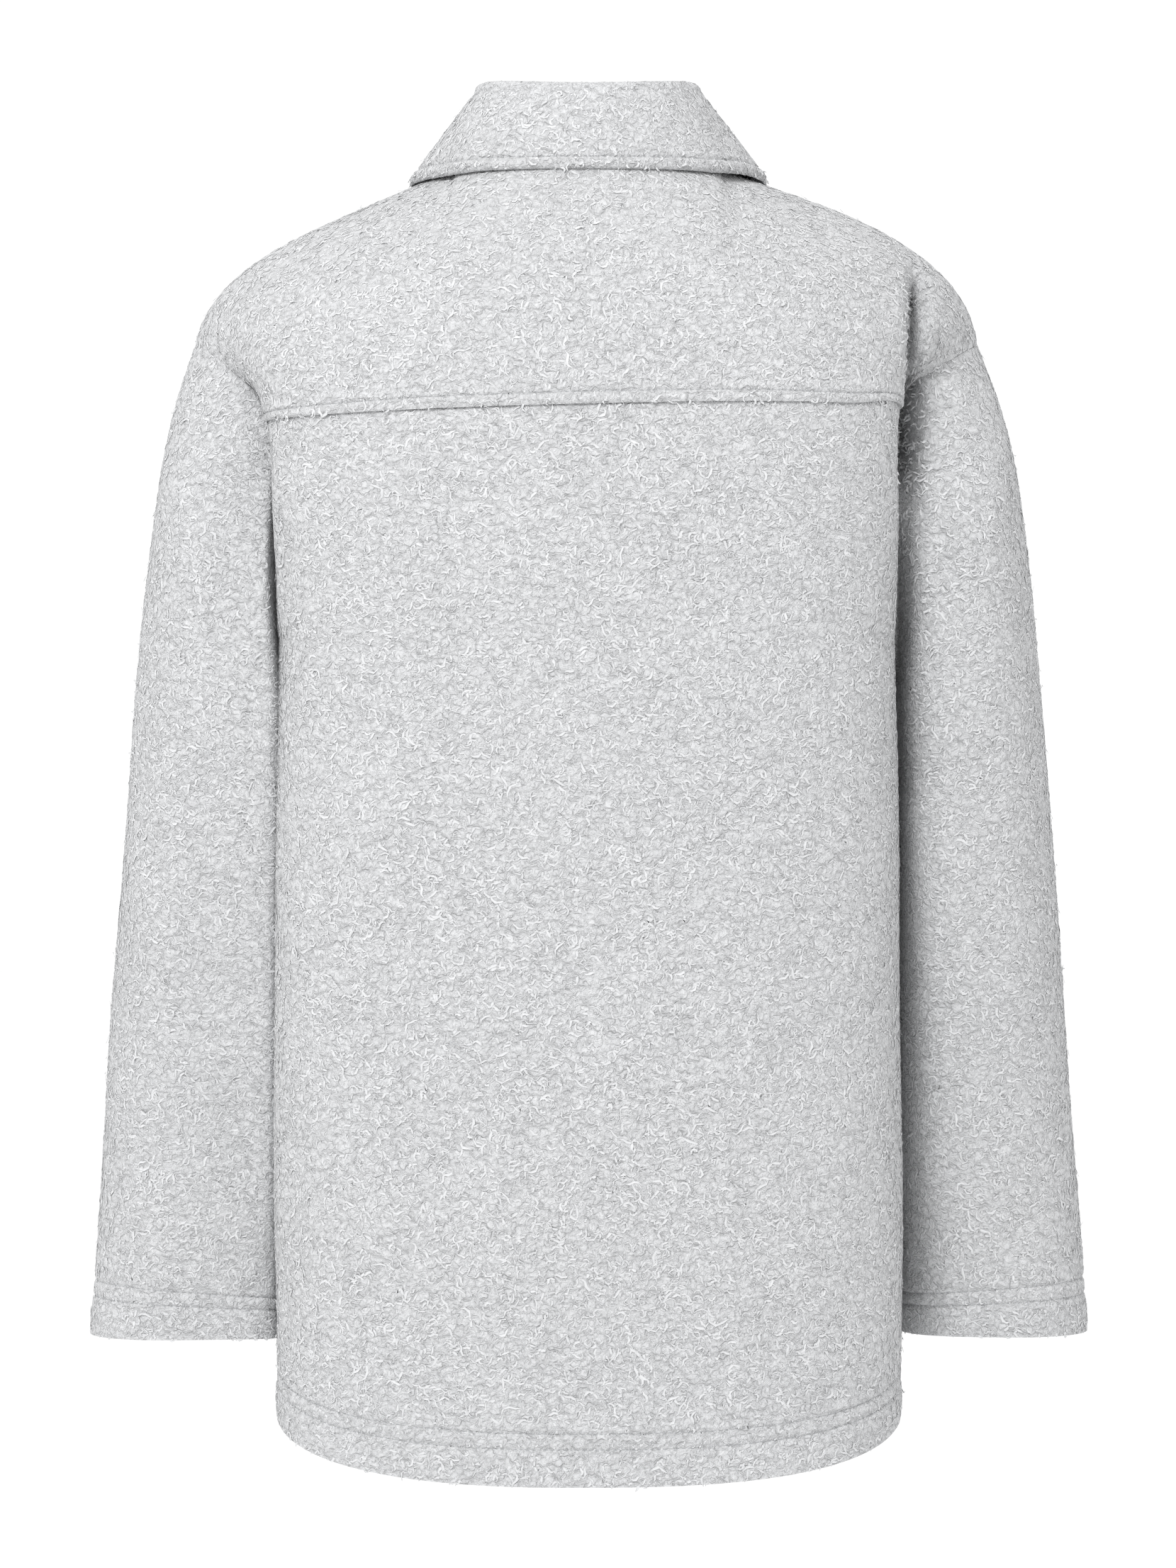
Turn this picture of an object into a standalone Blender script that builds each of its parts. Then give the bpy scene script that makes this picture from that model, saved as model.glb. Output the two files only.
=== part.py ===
"""Shacket of thick brushed wool in its worn form: a hollow jacket on no figure, held up at neck and shoulders.

Metres, +Z up. The front faces -Y and the wearer's left is +X. The origin lies in the middle of the neck, at the
height of the back neck seam. Every panel is a smooth surface worked out from a short table, and its wall lies
inside that surface. Panels that are sewn together share the points of their seam.
"""

import math

import bmesh
import bpy
from mathutils import Matrix, Vector

# Cloth and seams
WALL = 0.0028            # one layer of the wool
HEM_WALL = 0.0050        # the turned hem, two layers pressed together
HEM_DEPTH = 0.034
COLLAR_WALL = 0.0036
COLLAR_BELLY = 0.0006    # how far the collar rounds out between fold and edge
SEAM_GAP = 0.0004
LAP = 0.0017             # how far the folded edge of the yoke stands proud of the back
LAP_DEPTH = 0.010

# Body, below the armhole
# Side seam, from hem to underarm: level, out, back, up
SIDE_SEAM = (
    (0.00, 0.1770, -0.012, -0.7460),
    (0.33, 0.1760, -0.012, -0.5970),
    (0.66, 0.1730, -0.010, -0.4450),
    (1.00, 0.1690, -0.008, -0.2900),
)
# Armhole, once round the left side from the underarm over the back: share of the way, out, back, up
ARMHOLE = (
    (0.000, 0.1690, -0.008, -0.2900),
    (0.125, 0.1800, 0.040, -0.2260),
    (0.250, 0.1840, 0.050, -0.1620),
    (0.375, 0.2140, 0.036, -0.1290),
    (0.500, 0.2345, -0.010, -0.1130),
    (0.625, 0.2120, -0.052, -0.1270),
    (0.750, 0.1760, -0.078, -0.1650),
    (0.875, 0.1600, -0.060, -0.2300),
)
# Back panel, from hem to yoke seam: level, depth at the centre, drop of the centre below the side,
# end of the flat middle, fullness of the turn (out, back)
BACK_ROWS = (
    (0.000, 0.147, 0.0335, 0.142, 0.2105, 0.100),
    (0.200, 0.145, 0.0180, 0.142, 0.2115, 0.100),
    (0.450, 0.142, 0.0050, 0.140, 0.2130, 0.099),
    (0.727, 0.141, 0.0030, 0.138, 0.2140, 0.098),
    (0.860, 0.140, 0.0010, 0.134, 0.2060, 0.104),
    (1.000, 0.135, -0.0050, 0.132, 0.2090, 0.108),
)
# Front panels, from hem to chest line: level, depth at the centre, drop, flat middle, fullness (out, back)
FRONT_ROWS = (
    (0.000, -0.152, 0.0240, 0.120, 0.176, -0.100),
    (0.200, -0.150, 0.0120, 0.120, 0.175, -0.100),
    (0.500, -0.146, 0.0030, 0.118, 0.173, -0.098),
    (0.727, -0.142, 0.0020, 0.116, 0.170, -0.094),
    (1.000, -0.130, -0.0120, 0.112, 0.176, -0.112),
)
UNDERARM_LEVEL = 0.727
ROUNDNESS = 2.6          # of the curved hem: 2 is an ellipse
YOKE_TILT = 0.024        # the yoke seam runs down to the wearer's left by this much in a metre

# The wearer's right shoulder sits squarer, and its armhole is drawn further in at the back
SHOULDER_SQUARE = {1: 0.000, -1: 0.006}
NOTCH_IN = {1: 0.000, -1: 0.007}
NOTCH_SHARE, NOTCH_SPREAD = 0.28, 0.10

# Neck, shoulder and collar
NECK_BACK = Vector((0.0, 0.068, 0.0))
NECK_SIDE = Vector((0.078, -0.002, -0.007))
NECK_FRONT = Vector((0.0, -0.088, -0.066))
SHOULDER_BEND = (Vector((0.150, -0.003, -0.036)), Vector((0.222, -0.006, -0.060)))
NECK_SHARE = 0.27        # share of a row that runs up to the neck, not to the shoulder
STAND_TOP = (Vector((0.0, 0.058, 0.0275)), Vector((0.0615, -0.003, 0.0330)), Vector((0.0, -0.081, -0.036)))
FRONT_GAP = 0.004        # half the gap between the two ends of the collar
ROLL = 0.0016            # inner radius of the collar's fold
RISE = 0.0040            # from the stand up to the fold
# Edge of the collar: level all round the back, then down the fronts to its point: share of the way, share
# across, share up, lift off the body
COLLAR_EDGE_UP = -0.0185
COLLAR_EDGE_BACK = ((0.00, 0.000, 0.0100), (0.25, 0.200, 0.0075), (0.50, 0.385, 0.0048))
COLLAR_EDGE_FRONT = ((0.50, 0.385, 1.000, 0.0048), (0.75, 0.330, 0.760, 0.0066), (1.00, 0.170, 0.380, 0.0072))

# Sleeve, from armhole to cuff: level, outside (out, up), inside (out, up), middle back, half depth
SLEEVE_ROWS = (
    (0.00, 0.2345, -0.113, 0.1690, -0.290, -0.008, 0.065),
    (0.08, 0.2485, -0.156, 0.1790, -0.318, -0.010, 0.074),
    (0.20, 0.2590, -0.214, 0.1815, -0.356, -0.014, 0.079),
    (0.40, 0.2725, -0.330, 0.1820, -0.440, -0.022, 0.078),
    (0.60, 0.2825, -0.454, 0.1820, -0.527, -0.030, 0.074),
    (0.80, 0.2905, -0.580, 0.1825, -0.614, -0.036, 0.068),
    (1.00, 0.2980, -0.706, 0.1840, -0.705, -0.040, 0.062),
)
# How far each sleeve hangs back and out from that at the cuff
SWING = {1: 0.012, -1: -0.008}
SPREAD = {1: 0.0000, -1: 0.0025}

# Front closure
OVERLAP = 0.045          # share of a front's width that laps past the centre
BUTTON_COUNT = 6
BUTTON_LEVELS = (0.10, 0.90)
BUTTON_RADIUS = 0.0105
BUTTON_THICK = 0.0038
BUTTON_CLEAR = 0.0008    # off the front that it is sewn to
BUTTON_HOLE = 0.0010
BUTTON_HOLE_OFF = 0.0022

# Steps of the meshes: rows below the underarm, in the armhole, in the yoke, and columns to neck and shoulder
LOW_ROWS, ARM_ROWS, FRONT_ARM_ROWS = 11, 5, 10
YOKE_STEPS = (0.0, 0.07, 0.25, 0.43, 0.62, 0.81, 1.0)
NECK_COLUMNS, SHOULDER_COLUMNS = 5, 11
SLEEVE_STEPS = 18
UNDERARM_CLEAR = 0.0010  # where sleeve and body lie face to face under the arm, they are this far apart
CAP_LEVEL = 0.15         # down to here the sleeve still takes its shape from the armhole
STAND_STEPS = 3
FRONT_LIFT = 0.0008      # the stand clears the lapped fronts by this
COLLAR_COLUMNS, ROLL_STEPS, FALL_STEPS = 36, 4, 4

WOOL = (0.64, 0.65, 0.66, 1.0)
HORN = (0.30, 0.31, 0.33, 1.0)


def clamp(value, low=0.0, high=1.0):
    return max(low, min(high, value))


def ease(value):
    """0 to 1 with a soft start and end."""
    value = clamp(value)
    return value * value * (3.0 - 2.0 * value)


def smooth(rows, at):
    """The row of a table at a station between its rows, on a smooth curve through them."""
    last = len(rows) - 1
    at = clamp(at, rows[0][0], rows[last][0])
    here = max(i for i in range(last) if rows[i][0] <= at or i == 0)
    before, a, b, after = rows[max(here - 1, 0)], rows[here], rows[here + 1], rows[min(here + 2, last)]
    span = b[0] - a[0]
    t = (at - a[0]) / span
    out = []
    for column in range(1, len(a)):
        slope_a = (b[column] - before[column]) / (b[0] - before[0]) * span
        slope_b = (after[column] - a[column]) / (after[0] - a[0]) * span
        out.append(
            a[column] * (1 + 2 * t) * (1 - t) ** 2
            + slope_a * t * (1 - t) ** 2
            + b[column] * t * t * (3 - 2 * t)
            + slope_b * t * t * (t - 1)
        )
    return out


def bezier(start, first, second, end, t):
    s = 1.0 - t
    return start * s**3 + first * (3 * s * s * t) + second * (3 * s * t * t) + end * t**3


def armhole(share, side):
    """A point of an armhole; the table goes round, so its ends are joined."""
    share %= 1.0
    first, last = ARMHOLE[0], ARMHOLE[-1]
    rows = ((last[0] - 1.0, *last[1:]), *ARMHOLE, (1.0, *first[1:]), (1.0 + ARMHOLE[1][0], *ARMHOLE[1][1:]))
    point = Vector(smooth(rows, share))
    point.y -= NOTCH_IN[side] * math.exp(-(((share - NOTCH_SHARE) / NOTCH_SPREAD) ** 2))
    return point


def side_seam(level):
    return Vector(smooth(SIDE_SEAM, level))


def panel_row(rows, level, seam, across):
    """A point of a row that runs flat from the centre and turns round to the seam."""
    depth, drop, flat, full_out, full_back = smooth(rows, level)
    start, first, second, end = (
        Vector((0.0, depth)),
        Vector((flat, depth)),
        Vector((full_out, full_back)),
        Vector((seam.x, seam.y)),
    )
    point = bezier(start, first, second, end, across)
    widest = max(bezier(start, first, second, end, k / 20).x for k in range(10, 21))
    reach = 1.0 if across > 0.86 else clamp(abs(point.x) / widest)
    up = seam.z - drop * math.sqrt(max(0.0, 1.0 - reach**ROUNDNESS))
    return Vector((point.x, point.y, up))


def neck_back(turn):
    """The back half of the neck seam: 0 at the centre back, 1 at the side."""
    angle = turn * math.pi / 2
    x = NECK_SIDE.x * math.sin(angle)
    y = NECK_SIDE.y + (NECK_BACK.y - NECK_SIDE.y) * math.cos(angle)
    return Vector((x, y, NECK_SIDE.z * math.sin(angle) ** 2))


def neck_front(turn):
    """The front half of the neck seam: 0 at the centre front, 1 at the side."""
    angle = turn * math.pi / 2
    x = NECK_SIDE.x * math.sin(angle)
    y = NECK_SIDE.y + (NECK_FRONT.y - NECK_SIDE.y) * math.cos(angle)
    z = NECK_SIDE.z + (NECK_FRONT.z - NECK_SIDE.z) * math.cos(angle) ** 2
    return Vector((x, y, z))


def top_edge(across, neck, side):
    """The upper edge of a body panel: along the neck, then down the shoulder to the armhole."""
    if across <= NECK_SHARE:
        return neck(across / NECK_SHARE)
    square = Vector((0.45, 0.0, 1.0)) * SHOULDER_SQUARE[side]
    inner, outer = SHOULDER_BEND
    way = (across - NECK_SHARE) / (1.0 - NECK_SHARE)
    return bezier(NECK_SIDE, inner, outer + 1.4 * square, armhole(0.5, side), way)


def cap(low, top, across, facing, t):
    """From an upright row up and over to the neck and shoulder. facing is 1 behind and -1 in front."""
    rise = top.z - low.z
    to_neck = 1.0 - ease(across / NECK_SHARE)
    first = low + Vector((0.0, 0.0, 0.52 * rise))
    out = 0.45 * (low.y - top.y) * facing
    second = top + Vector((0.0, facing * out * (1.0 - 0.35 * to_neck), -0.26 * rise * to_neck - 0.004))
    return bezier(low, first, second, top, t)


def back_plain(side, a, level):
    """A point of the back, with out as a positive size on both sides."""
    if level <= UNDERARM_LEVEL:
        seam = side_seam(level / UNDERARM_LEVEL)
    else:
        seam = armhole(0.25 * (level - UNDERARM_LEVEL) / (1.0 - UNDERARM_LEVEL), side)
    point = panel_row(BACK_ROWS, level, seam, a)
    tilt = YOKE_TILT * side * point.x * ease((level - UNDERARM_LEVEL) / (1.0 - UNDERARM_LEVEL)) * (1.0 - a**3)
    return Vector((point.x, point.y, point.z - tilt))


def back_point(across, level):
    side, a = (1 if across >= 0 else -1), abs(across)
    point = back_plain(side, a, level)
    return Vector((side * point.x, point.y, point.z))


def yoke_point(across, t):
    side, a = (1 if across >= 0 else -1), abs(across)

    def plain(share):
        return cap(back_plain(side, share, 1.0), top_edge(share, neck_back, side), share, 1, t)

    point = plain(a)
    edge = armhole(0.25 + 0.25 * t, side)
    point += (edge - plain(1.0)) * ease((a - 0.45) / 0.55)
    return Vector((side * point.x, point.y, point.z))


def panel_wall(edge_of):
    """Wall of a panel: one layer, and two where the hem is turned in. edge_of: a point's height over the hem."""
    return lambda point: WALL + (HEM_WALL - WALL) * ease(2.0 - edge_of(point) / (HEM_DEPTH / 2))


def hem_height(point):
    """Height over the body's curved hem."""
    share = clamp(abs(point.x) / SIDE_SEAM[0][1])
    drop = BACK_ROWS[0][2] if point.y > 0 else FRONT_ROWS[0][2]
    return point.z - SIDE_SEAM[0][3] + drop * math.sqrt(1.0 - share**ROUNDNESS)


def lap_proud(point):
    """The lower edge of the yoke is folded, so it stands proud."""
    seam = BACK_ROWS[-1][2]
    height = point.z - (ARMHOLE[2][3] - seam) + YOKE_TILT * point.x
    return LAP * ease(1.4 - height / LAP_DEPTH)


hem_wall = panel_wall(hem_height)
FRONT_CHEST = (LOW_ROWS + FRONT_ARM_ROWS / 2) / (LOW_ROWS + FRONT_ARM_ROWS)
FRONT_UNDERARM = LOW_ROWS / (LOW_ROWS + FRONT_ARM_ROWS)


def front_point(across, level, side=1):
    """A front, with out as a positive size on both sides. Below 0, across laps past the centre."""
    if level <= FRONT_UNDERARM:
        seam = side_seam(level / FRONT_UNDERARM)
    else:
        seam = armhole(1.0 - 0.5 * (level - FRONT_UNDERARM) / (1.0 - FRONT_UNDERARM), side)
    if level <= FRONT_CHEST:
        return panel_row(FRONT_ROWS, level / FRONT_CHEST, seam, across)
    t = (level - FRONT_CHEST) / (1.0 - FRONT_CHEST)
    chest = armhole(0.75, side)

    def plain(share):
        low = panel_row(FRONT_ROWS, 1.0, chest, share)
        return cap(low, top_edge(share, neck_front, side), max(share, 0.0), -1, t)

    point = plain(across)
    point += (armhole(0.75 - 0.25 * t, side) - plain(1.0)) * ease((across - 0.45) / 0.55)
    return point


def under_front_point(across, level):
    """The right front, which lies under the left one where they lap."""
    point = front_point(across, level, -1)
    normal = surface_normal(front_point, across, level, Vector((0, -1, 0.3)))
    point -= normal * (hem_wall(point) + 2.5 * SEAM_GAP) * ease((0.125 - across) / 0.065)
    return Vector((-point.x, point.y, point.z))


def sleeve_point(turn, level, side):
    """turn goes once round, from the underarm over the back."""

    def tube(at):
        out_x, out_z, in_x, in_z, middle, depth = smooth(SLEEVE_ROWS, at)
        angle = 2.0 * math.pi * turn
        c, s = math.cos(angle), math.sin(angle)
        x = (out_x + in_x) / 2 - (out_x - in_x) / 2 * c + SPREAD[side] * at
        z = (out_z + in_z) / 2 - (out_z - in_z) / 2 * c
        y = middle + SWING[side] * at + depth * math.copysign(abs(s) ** 0.92, s)
        return Vector((x, y, z))

    point = tube(level) + (armhole(turn, side) - tube(0.0)) * (1.0 - ease(level / CAP_LEVEL))
    from_underarm = min(turn, 1.0 - turn)
    point.x += UNDERARM_CLEAR * ease((0.24 - from_underarm) / 0.06) * (1.0 - ease(level / CAP_LEVEL))
    return Vector((side * point.x, point.y, point.z))


def ring(back, flank, front, turn):
    """Half a ring round the neck, from the centre back (0) by the side (0.5) to the centre front (1)."""
    angle = turn * math.pi
    middle = flank.y
    y_half = back.y - middle if turn < 0.5 else middle - front.y
    y = middle + y_half * math.cos(angle)
    end = back if turn < 0.5 else front
    return Vector((flank.x * math.sin(angle), y, flank.z + (end.z - flank.z) * math.cos(angle) ** 2))


def stand_point(turn, height):
    side, a = (1 if turn >= 0 else -1), abs(turn)
    low = neck_back(2 * a) if a <= 0.5 else neck_front(2 - 2 * a)
    top = ring(*STAND_TOP, a)
    point = low.lerp(top, height)
    point.z += FRONT_LIFT * ease((a - 0.84) / 0.08) * (1.0 - height)
    return Vector((side * point.x, point.y, point.z))


def surface_normal(surface, across, level, outward):
    """Unit normal of a surface function, on the side of the direction outward."""
    step = 0.004
    run = surface(across + step, level) - surface(across - step, level)
    rise = surface(across, min(level + step, 1.0)) - surface(across, level - step)
    normal = run.cross(rise).normalized()
    return normal if normal.dot(outward) > 0 else -normal


def collar_edge(turn):
    """Lower edge of the collar, lifted off the yoke and the fronts that it lies on."""
    if turn <= 0.5:
        across, lift = smooth(COLLAR_EDGE_BACK, turn)
        low, high = 0.5, 1.0
        for _ in range(14):
            up = (low + high) / 2
            low, high = (up, high) if yoke_point(across, up).z < COLLAR_EDGE_UP else (low, up)
        return yoke_point(across, up) + surface_normal(yoke_point, across, up, Vector((0, 1, 0.5))) * lift
    across, up, lift = smooth(COLLAR_EDGE_FRONT, turn)
    level = FRONT_CHEST + (1.0 - FRONT_CHEST) * up
    outward = surface_normal(front_point, across, level, Vector((0, -1, 0.5)))
    return front_point(across, level) + outward * lift


def collar_point(turn, way):
    """way goes up off the stand, over the fold and down to the edge; the surface is the side that shows."""
    side, a = (1 if turn >= 0 else -1), abs(turn)
    top = ring(*STAND_TOP, a)
    ahead, behind = ring(*STAND_TOP, min(a + 0.02, 1.0)), ring(*STAND_TOP, max(a - 0.02, 0.0))
    along = (ahead - behind).normalized()
    out = Vector((-along.y, along.x, 0.0))
    out = -out.normalized() if out.dot(Vector((top.x, top.y, 0.0))) < 0 else out.normalized()
    up = Vector((0.0, 0.0, 1.0))
    outer = ROLL + COLLAR_WALL
    middle = top + out * (ROLL - (COLLAR_WALL - WALL) / 2) + up * RISE
    steps = 1 + ROLL_STEPS + FALL_STEPS
    step = way * steps
    if step <= 1:
        point = middle - out * outer - up * (RISE - SEAM_GAP) * (1.0 - step)
    elif step <= 1 + ROLL_STEPS:
        angle = math.pi * (step - 1) / ROLL_STEPS
        point = middle + outer * (up * math.sin(angle) - out * math.cos(angle))
    else:
        t = (step - 1 - ROLL_STEPS) / FALL_STEPS
        start, end = middle + out * outer, collar_edge(a)
        belly = (end - start).cross(along).normalized() * COLLAR_BELLY
        belly = belly if belly.dot(out) > 0 else -belly
        point = start.lerp(end, t) + belly * 4 * t * (1 - t)
    point.x = max(point.x, FRONT_GAP) if a > 0.75 else point.x
    return Vector((side * point.x, point.y, point.z))


def column(share):
    """From the even columns of the mesh to shares of a row, with the neck on one of them."""
    side, a = (1 if share >= 0 else -1), abs(share)
    at_neck = NECK_COLUMNS / (NECK_COLUMNS + SHOULDER_COLUMNS)
    if a <= at_neck:
        return side * a / at_neck * NECK_SHARE
    return side * (NECK_SHARE + (a - at_neck) / (1.0 - at_neck) * (1.0 - NECK_SHARE))


def station(steps, share):
    """A row of the mesh, read from uneven steps."""
    return steps[round(share * (len(steps) - 1))]


def sheet(surface, columns, rows, closed=False, flip=False):
    """A grid over 0 to 1 both ways, each of its points put on the surface."""
    bm = bmesh.new()
    bmesh.ops.create_grid(bm, x_segments=columns, y_segments=rows, size=0.5)
    for vert in bm.verts:
        column_share = round((vert.co.x + 0.5) * columns) / columns
        row_share = round((vert.co.y + 0.5) * rows) / rows
        vert.co = surface(column_share, row_share)
    if closed:
        bmesh.ops.remove_doubles(bm, verts=bm.verts, dist=1e-6)
    if flip:
        bmesh.ops.reverse_faces(bm, faces=bm.faces)
    return bm


def place_key(point):
    return tuple(round(c * 20000) for c in point)


def shared_normals(sheets):
    """Normals of all the sheets sewn together, so that two panels meet along one mitre."""
    sums = {}
    for bm in sheets:
        bm.normal_update()
        for vert in bm.verts:
            key = place_key(vert.co)
            around = sum((f.normal * f.calc_area() for f in vert.link_faces), Vector())
            sums[key] = sums.get(key, Vector()) + around
    return {key: total.normalized() for key, total in sums.items()}


def wall_object(name, bm, normals, thickness, proud=None, draw=0.5):
    """A sheet with its wall: the edges drawn in by a share of the seam gap, then a second layer inside."""
    moves = {}
    for vert in bm.verts:
        if not vert.is_boundary:
            continue
        middle = sum((f.calc_center_median() for f in vert.link_faces), Vector()) / len(vert.link_faces)
        inward = middle - vert.co
        reach = SEAM_GAP * draw * (1.5 if len(vert.link_faces) == 1 else 1.05)
        moves[vert] = inward.normalized() * reach
    inside, sewn_at = {}, {}
    for vert in bm.verts:
        key = place_key(vert.co)
        start = vert.co + moves.get(vert, Vector())
        depth = thickness(vert.co)
        vert.co = start + normals[key] * (proud(vert.co) if proud else 0.0)
        inside[place_key(vert.co)] = start - normals[key] * depth
        sewn_at[vert] = key
    made = bmesh.ops.extrude_face_region(bm, geom=bm.faces[:], use_keep_orig=True)
    inner = [g for g in made["geom"] if isinstance(g, bmesh.types.BMVert)]
    for vert in inner:
        vert.co = inside[place_key(vert.co)]
    split_edge_walls(bm, sewn_at, set(inner))
    bmesh.ops.recalc_face_normals(bm, faces=bm.faces)
    return mesh_object(name, bm)


def split_edge_walls(bm, sewn_at, inner):
    """Splits each face of the cut edge along the diagonal that its neighbour across the seam takes too."""
    for face in list(bm.faces):
        outer_ends = [v for v in face.verts if v not in inner]
        if len(outer_ends) != 2 or len(face.verts) != 4:
            continue
        start = min(outer_ends, key=lambda v: sewn_at[v])
        across = next(v for v in face.verts if v in inner and not any(start in e.verts for e in v.link_edges))
        bmesh.utils.face_split(face, start, across)


def material(name, colour, roughness):
    made = bpy.data.materials.new(name)
    made.use_nodes = True
    shader = made.node_tree.nodes["Principled BSDF"]
    shader.inputs["Base Color"].default_value = colour
    shader.inputs["Roughness"].default_value = roughness
    shader.inputs["Metallic"].default_value = 0.0
    return made


def mesh_object(name, bm):
    mesh = bpy.data.meshes.new(name)
    bm.to_mesh(mesh)
    bm.free()
    made = bpy.data.objects.new(name, mesh)
    garment.objects.link(made)
    is_button = name.startswith("button")
    mesh.materials.append(material(name, HORN if is_button else WOOL, 0.35 if is_button else 0.95))
    mesh.shade_smooth()
    mesh.set_sharp_from_angle(angle=math.radians(50))
    return made


def make_button(index):
    level = BUTTON_LEVELS[0] + (BUTTON_LEVELS[1] - BUTTON_LEVELS[0]) * index / (BUTTON_COUNT - 1)
    spot = front_point(0.0, level)
    normal = surface_normal(front_point, 0.0, level, Vector((0, -1, 0)))
    bm = bmesh.new()
    bmesh.ops.create_cone(
        bm, cap_ends=True, segments=20, radius1=BUTTON_RADIUS, radius2=BUTTON_RADIUS, depth=BUTTON_THICK
    )
    rims = [e for e in bm.edges if abs(e.verts[0].co.z - e.verts[1].co.z) < 1e-6]
    bmesh.ops.bevel(bm, geom=rims, offset=0.0009, affect="EDGES", segments=1, profile=0.5, material=-1)
    front = max(bm.faces, key=lambda f: f.calc_center_median().z)
    bmesh.ops.inset_region(bm, faces=[front], thickness=0.0018, depth=-0.0008)
    turn = Vector((0, 0, 1)).rotation_difference(normal).to_matrix().to_4x4()
    place = Matrix.Translation(spot + normal * (BUTTON_CLEAR + BUTTON_THICK / 2)) @ turn
    bmesh.ops.transform(bm, matrix=place, verts=bm.verts)
    button = mesh_object(f"button_{index + 1}", bm)
    cutter_mesh = bpy.data.meshes.new(f"holes_{index + 1}")
    bm = bmesh.new()
    for right in (-1, 1):
        for up in (-1, 1):
            at = Matrix.Translation((right * BUTTON_HOLE_OFF, up * BUTTON_HOLE_OFF, 0.0))
            bmesh.ops.create_cone(
                bm, cap_ends=True, segments=6, radius1=BUTTON_HOLE, radius2=BUTTON_HOLE, depth=0.02, matrix=at
            )
    bmesh.ops.transform(bm, matrix=place, verts=bm.verts)
    bm.to_mesh(cutter_mesh)
    bm.free()
    cutter = bpy.data.objects.new(cutter_mesh.name, cutter_mesh)
    cutters.objects.link(cutter)
    cutter.hide_render = True
    cutter.display_type = "WIRE"
    cut = button.modifiers.new("holes", "BOOLEAN")
    cut.object = cutter
    cut.operation = "DIFFERENCE"
    cut.solver = "EXACT"


for old in list(bpy.data.objects):
    bpy.data.objects.remove(old, do_unlink=True)
garment = bpy.data.collections.new("shacket")
cutters = bpy.data.collections.new("cutters")
bpy.context.scene.collection.children.link(garment)
bpy.context.scene.collection.children.link(cutters)

# Even steps of a panel to its levels
HALF = NECK_COLUMNS + SHOULDER_COLUMNS
BACK_LEVELS = [UNDERARM_LEVEL * i / LOW_ROWS for i in range(LOW_ROWS)]
BACK_LEVELS += [UNDERARM_LEVEL + (1 - UNDERARM_LEVEL) * i / ARM_ROWS for i in range(ARM_ROWS + 1)]
FRONT_ROWS_ALL = LOW_ROWS + FRONT_ARM_ROWS
SLEEVE_TURNS = [0.25 * i / ARM_ROWS for i in range(ARM_ROWS)]
SLEEVE_TURNS += [0.25 + 0.25 * t for t in YOKE_STEPS[:-1]]
SLEEVE_TURNS += [0.5 + 0.5 * i / FRONT_ARM_ROWS for i in range(FRONT_ARM_ROWS + 1)]
FRONT_SHARES = [-OVERLAP] + [NECK_SHARE * i / (NECK_COLUMNS + 1) for i in range(NECK_COLUMNS + 1)]
FRONT_SHARES += [NECK_SHARE + (1 - NECK_SHARE) * i / SHOULDER_COLUMNS for i in range(SHOULDER_COLUMNS + 1)]
STAND_TURNS = [0.5 * i / NECK_COLUMNS for i in range(NECK_COLUMNS)]
STAND_TURNS += [0.5 + 0.5 * i / (NECK_COLUMNS + 1) for i in range(NECK_COLUMNS + 1)] + [0.985]
STAND_TURNS = [-t for t in reversed(STAND_TURNS[1:])] + STAND_TURNS

sheets = {
    "back": sheet(
        lambda u, v: back_point(column(2 * u - 1), station(BACK_LEVELS, v)),
        2 * HALF, len(BACK_LEVELS) - 1, flip=True,
    ),
    "back_yoke": sheet(
        lambda u, v: yoke_point(column(2 * u - 1), station(YOKE_STEPS, v)),
        2 * HALF, len(YOKE_STEPS) - 1, flip=True,
    ),
    "front_left": sheet(
        lambda u, v: front_point(station(FRONT_SHARES, u), v), len(FRONT_SHARES) - 1, FRONT_ROWS_ALL
    ),
    "front_right": sheet(
        lambda u, v: under_front_point(station(FRONT_SHARES, u), v),
        len(FRONT_SHARES) - 1, FRONT_ROWS_ALL, flip=True,
    ),
    "collar_stand": sheet(
        lambda u, v: stand_point(station(STAND_TURNS, u), v), len(STAND_TURNS) - 1, STAND_STEPS, flip=True
    ),
}
for name, side in (("sleeve_left", 1), ("sleeve_right", -1)):
    sheets[name] = sheet(
        lambda u, v, side=side: sleeve_point(station(SLEEVE_TURNS, u), v, side),
        len(SLEEVE_TURNS) - 1, SLEEVE_STEPS, closed=True, flip=side < 0,
    )
sewn = shared_normals(sheets.values())

cuff_line = SLEEVE_ROWS[-1]
cuff_wall = panel_wall(lambda point: point.z - (cuff_line[2] + cuff_line[4]) / 2)
for name, bm in sheets.items():
    if name.startswith("sleeve"):
        wall_object(name, bm, sewn, cuff_wall)
    elif name == "collar_stand":
        wall_object(name, bm, sewn, lambda point: WALL, draw=1.2)
    elif name == "back_yoke":
        wall_object(name, bm, sewn, lambda point: WALL, proud=lap_proud, draw=0.8)
    else:
        wall_object(name, bm, sewn, hem_wall)

collar = sheet(
    lambda u, v: collar_point((2 * u - 1), v), COLLAR_COLUMNS, 1 + ROLL_STEPS + FALL_STEPS, flip=False
)
wall_object("collar", collar, shared_normals([collar]), lambda point: COLLAR_WALL)

for number in range(BUTTON_COUNT):
    make_button(number)
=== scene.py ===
import functools
import math

import bmesh
import bpy
import numpy as np
from mathutils import Matrix, Vector


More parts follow.
